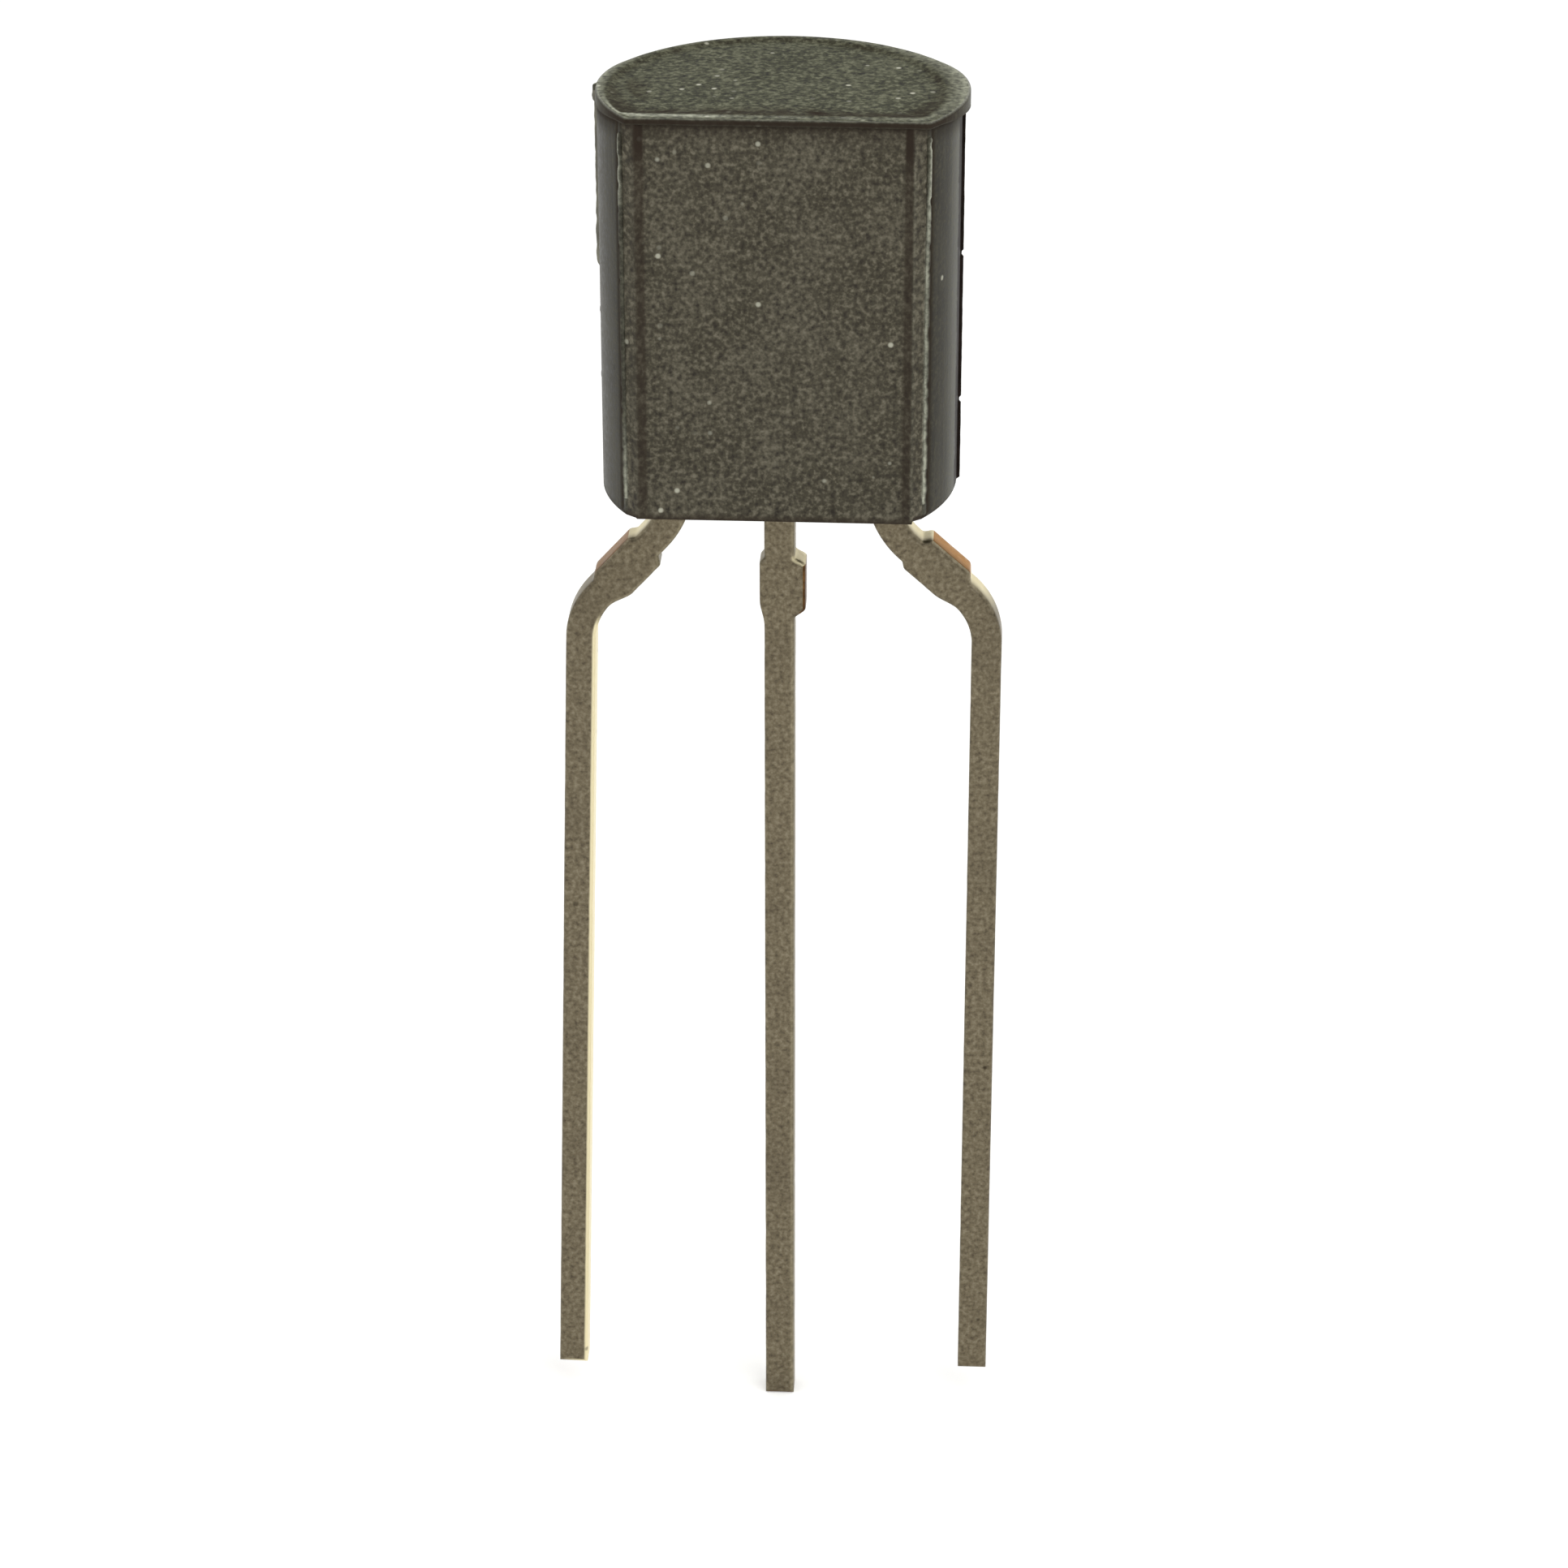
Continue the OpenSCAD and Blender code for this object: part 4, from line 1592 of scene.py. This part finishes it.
    def build(self, materials: Sequence[Material]) -> bpy.types.Object:
        """Builds the lead with rounded edges and dresses it.

        Args:
            materials: Materials in the order of LeadSlot.

        Returns:
            The lead's object.
        """
        loops = [self.outline()]
        if self.hole:
            x, z, radius = self.hole
            ring = (x, z) + arc(radius, np.linspace(0, -2 * math.pi, 41)[:-1])
            plain = np.zeros(len(ring))
            loops.append(EdgeLoop(ring, plain, plain, plain))
        profile = self.edge_profile()
        glow: list[float] = []
        vertices: list[list[float]] = []
        faces: list[tuple[int, ...]] = []
        slots: list[int] = []
        caps: dict[int, list[list[int]]] = {0: [], len(profile) - 1: []}
        for loop in loops:
            inset = self.inward(loop.points)
            first, count = len(vertices), len(loop.points)
            for level, (depth, y) in enumerate(profile):
                vertices += [[x, y, z] for x, z in loop.points + inset * depth]
                glow += (loop.bright * np.where(
                    loop.wraps, self.wrapped_glow[level], self.edge_glow[level]
                )).tolist()
            low, high = self.shear_rows
            for level in range(len(profile) - 1):
                here, beyond = first + level * count, first + (level + 1) * count
                for k in range(count):
                    after = (k + 1) % count
                    faces.append((here + k, here + after, beyond + after, beyond + k))
                    torn = loop.sheared[k] and loop.sheared[after] and low <= level <= high
                    slots.append(LeadSlot.SHEARED if torn else LeadSlot.TIN)
            for level, rims in caps.items():
                start = first + level * count
                rims.append(list(range(start, start + count)))
        for rims in caps.values():
            outlines = [[Vector((vertices[i][0], vertices[i][2], 0)) for i in rim]
                        for rim in rims]
            order = [i for rim in rims for i in rim]
            for triangle in tessellate_polygon(outlines):
                faces.append(tuple(order[i] for i in triangle))
                slots.append(LeadSlot.TIN)
        piece = write_mesh(f"formed_{self.role.value}", np.array(vertices), faces, slots,
                           materials, {"bright": np.array(glow)}, 40)
        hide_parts(self.role.value)
        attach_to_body(piece, "root")
        return piece


# ---------- The chip inside ----------


@dataclass
class Chip:
    """The die, the layer that fixes it and the bond wires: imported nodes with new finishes."""

    nodes: dict[str, bpy.types.Object]

    def dress(self, finishes: dict[str, Material]) -> None:
        """Gives each node its finish.

        Args:
            finishes: Node name to material.
        """
        for name, material in finishes.items():
            for slot in self.nodes[name].material_slots:
                slot.material = material
            LOG.info("%s: %s", name, material.name)


# ---------- The studio ----------


@dataclass(frozen=True)
class SoftLamp:
    """A soft square lamp that looks at the object.

    Azimuth is in degrees to the right of the front, elevation in degrees above the horizon,
    and away and size in mm.
    """

    name: str
    azimuth: float
    elevation: float
    away: float
    size: float
    watts: float
    target: tuple[float, float, float] = (0.0, 0.0, 2.0)

    def hang(self) -> None:
        """Adds the lamp to the scene."""
        data = bpy.data.lights.new(self.name, "AREA")
        data.shape = "SQUARE"
        data.size = self.size * MM
        data.energy = self.watts
        a, e = math.radians(self.azimuth), math.radians(self.elevation)
        way = Vector((math.sin(a) * math.cos(e), -math.cos(a) * math.cos(e), math.sin(e)))
        aimed(self.name, data, Vector(self.target) + way * self.away, -way)


def aimed(name: str, data: bpy.types.ID, at: Vector, way: Vector) -> bpy.types.Object:
    """Adds a lamp or a camera that looks along a direction.

    Args:
        name: Name of the object.
        data: The lamp's or the camera's data.
        at: Where it stands, in mm.
        way: Where it looks.

    Returns:
        The object.
    """
    thing = bpy.data.objects.new(name, data)
    thing.location = at * MM
    thing.rotation_mode = "QUATERNION"
    thing.rotation_quaternion = way.to_track_quat("-Z", "Y")
    bpy.context.scene.collection.objects.link(thing)
    return thing


@dataclass
class Studio:
    """Pale floor, soft light and the camera."""

    floor_z: float = -11.3
    floor_half: float = 1500.0
    camera_at: tuple[float, float, float] = (2.902, -54.498, 24.797)
    aim: tuple[float, float, float] = (0.05, 0.0, -2.05)
    lens: float = 108.0
    lamps: tuple[SoftLamp, ...] = (
        SoftLamp("key_lamp", azimuth=38, elevation=48, away=60, size=50, watts=0.012),
        SoftLamp("fill_lamp", azimuth=-50, elevation=35, away=70, size=60, watts=0.005),
    )

    def floor(self, material: Material) -> None:
        """Lays the floor under the lead tips.

        Args:
            material: The floor's finish.
        """
        work = bmesh.new()
        bmesh.ops.create_grid(work, x_segments=8, y_segments=8, size=self.floor_half * MM)
        bmesh.ops.translate(work, verts=work.verts, vec=(0, 0, self.floor_z * MM))
        mesh = bpy.data.meshes.new("studio_floor")
        work.to_mesh(mesh)
        work.free()
        mesh.materials.append(material)
        floor = bpy.data.objects.new("studio_floor", mesh)
        bpy.context.scene.collection.objects.link(floor)

    def world(self) -> None:
        """A pale surround, dimmer in front of the object, that the camera sees as white."""
        world = bpy.data.worlds.new("studio_surround")
        bpy.context.scene.world = world
        world.use_nodes = True
        tree = world.node_tree
        tree.nodes.clear()
        way = add_node(tree, "ShaderNodeTexCoord").outputs["Generated"]
        parts = add_node(tree, "ShaderNodeSeparateXYZ", links={"Vector": way})
        level = add_node(
            tree, "ShaderNodeMapRange",
            {"From Min": -0.95, "From Max": -0.2, "To Min": 0.35, "To Max": 0.95},
            {"Value": parts.outputs["Y"]},
            interpolation_type="SMOOTHSTEP",
        )
        white = {"Color": (1, 1, 1, 1), "Strength": 1.0}
        soft = add_node(tree, "ShaderNodeBackground", white, {"Strength": level})
        seen = add_node(tree, "ShaderNodeBackground", white)
        rays = add_node(tree, "ShaderNodeLightPath")
        both = add_node(
            tree, "ShaderNodeMixShader",
            links={0: rays.outputs["Is Camera Ray"], 1: soft, 2: seen},
        )
        add_node(tree, "ShaderNodeOutputWorld", links={"Surface": both})

    def camera(self) -> None:
        """Sets the camera at the viewing angle, with no shift and no blur."""
        data = bpy.data.cameras.new("camera")
        data.lens = self.lens
        data.clip_start = 0.001
        data.clip_end = 20.0
        at = Vector(self.camera_at)
        bpy.context.scene.camera = aimed("camera", data, at, Vector(self.aim) - at)

    def build(self) -> None:
        """Sets up floor, lamps, surround, camera and plain colour handling."""
        self.floor(StudioPaper("white_paper_floor", base="#f0f0ee", lift=0.3).build())
        for lamp in self.lamps:
            lamp.hang()
        self.world()
        self.camera()
        bpy.context.scene.view_settings.view_transform = "Standard"


# ---------- Everything together ----------


def case_materials() -> list[Material]:
    """The case's finishes, in the order of CaseSlot.

    Returns:
        The materials.
    """
    return [
        # Moulded against a smooth steel wall: nearly black, with a sheen and fine streaks.
        MouldedEpoxy(
            "silica_epoxy_smooth_moulded", base="#28261d", light="#494639", dark="#171510",
            roughness=0.4, specular=0.1, grain_mix=0.7, sparkle_share=0.05, pore_share=0.1,
            streak_mix=0.35, relief_mm=0.002,
        ).build(),
        # Moulded against spark-eroded steel: matt grey-brown with a salt-and-pepper grain.
        MouldedEpoxy(
            "silica_epoxy_spark_textured", base="#3f3b2f", light="#706b5c", dark="#1a1510",
            roughness=0.7, grain_mm=0.068, sparkle_share=0.12,
        ).build(),
        # The top is textured too; the light rakes over it, so it looks paler and greener.
        MouldedEpoxy(
            "silica_epoxy_top_textured", base="#434434", light="#72735f", dark="#1b1b14",
            roughness=0.66, specular=0.1, grain_mm=0.068, sparkle_share=0.4,
        ).build(),
        # Edges rubbed in the feeder: smoother and a little paler than the sides.
        MouldedEpoxy(
            "silica_epoxy_rubbed_edge", base="#34332a", light="#5a594b", dark="#1d1b15",
            roughness=0.4, specular=0.2, grain_mix=0.8, sparkle_share=0.1, relief_mm=0.002,
        ).build(),
        # Thick flash is a black line, and its black also paints shade on a strip of the right
        # flank; where it is thin, light gets in and it looks pale.
        ResinFlash(
            "epoxy_resin_flash_black_and_shade", base="#1c1613", light="#2c2420", roughness=0.4,
            specular=0.02,
        ).build(),
        ResinFlash(
            "epoxy_resin_flash_thin", base="#5d5a4d", light="#918e7c", roughness=0.3
        ).build(),
    ]


def lead_materials() -> list[Material]:
    """The leads' finishes, in the order of LeadSlot.

    Returns:
        The materials.
    """
    return [
        # Electroplated matt tin: a dull warm grey, with a pale painted highlight on side faces.
        PlatedMetal(
            "matt_tin_plate_on_copper_alloy", base="#6f6653", light="#8b826e",
            dark="#4e463a", roughness=0.42, grain_mm=0.065, cloud_mix=0.25,
        ).build(),
        # Bare alloy where the tie bar was sheared off after plating: brown, with a painted
        # glint.
        PlatedMetal(
            "copper_alloy_die_sheared", base="#5a3f22", light="#75552f", dark="#3a2814",
            roughness=0.38, speck_share=0.1, bright="#b07b2c",
        ).build(),
    ]


def chip_materials() -> dict[str, Material]:
    """Finishes of the nodes inside the case.

    Returns:
        The material of each node's piece.
    """
    # Etched silicon is a blue-grey mirror, reflowed solder a dull one, drawn gold a warm one.
    silicon = PlatedMetal(
        "silicon_etched", base="#5d6470", light="#737b88", dark="#474d58", roughness=0.2,
        speck_share=0.0,
    ).build()
    attach = PlatedMetal(
        "die_attach_solder_reflowed", base="#a9a9a6", light="#c2c2be", dark="#85857f",
        roughness=0.35,
    ).build()
    gold = PlatedMetal(
        "gold_wire_drawn", base="#d8ab45", light="#e8c266", dark="#b0842e", roughness=0.25,
        speck_share=0.0,
    ).build()
    return {
        "silicon_die": silicon, "die_attach": attach, "emitter_wire": gold, "base_wire": gold,
    }


def main() -> None:
    """Builds every piece in order, then the studio."""
    logging.basicConfig(level=logging.INFO, format="%(name)s: %(message)s")
    case = EpoxyCase().build(case_materials())
    LOG.info("%s: %d faces", case.name, len(case.data.polygons))
    metals = lead_materials()
    leads = (
        FormedLead(
            Lead.EMITTER, exit_x=-1.27, leg_x=-2.53, splay_deg=1.6,
            head=(-1.7175, 4.2, -1.0175, 5.45), seed=11.0, copper=-1, wrapped=1,
            left_bright=((0.6, 0.5), (0.8, 0.9), (1.04, 0.9), (1.1, 0.45), (1.7, 0.4),
                         (1.8, 0.1)),
            right_bright=((2.15, 0.1), (2.35, 1.0)),
        ),
        FormedLead(
            Lead.BASE, exit_x=0.0, leg_x=0.0, splay_deg=0.0,
            head=(-0.45, 3.43, 0.45, 4.05), seed=23.0, stub_right=0.14, copper=1,
            shear_rows=(1, 8), wrapped=1,
            right_bright=((0.96, 0.1), (1.0, 0.9), (1.07, 0.9), (1.1, 0.0), (1.8, 0.0),
                          (1.9, 0.1)),
        ),
        FormedLead(
            Lead.COLLECTOR, exit_x=1.27, leg_x=2.63, splay_deg=0.0, bend_deg=48.0,
            head=(-0.7175, 4.35, 1.5825, 6.35), hole=(1.1325, 5.9, 0.25), seed=37.0,
            copper=1,
            left_bright=((2.3, 0.1), (2.5, 0.3), (2.9, 0.3), (3.2, 0.1)),
            right_bright=((0.0, 1.0), (2.0, 1.0), (2.3, 0.1)),
        ),
    )
    for lead in leads:
        piece = lead.build(metals)
        LOG.info("%s: %d faces", piece.name, len(piece.data.polygons))
    Chip(frame["nodes"]).dress(chip_materials())
    Studio().build()


if __name__ == "__main__":
    main()
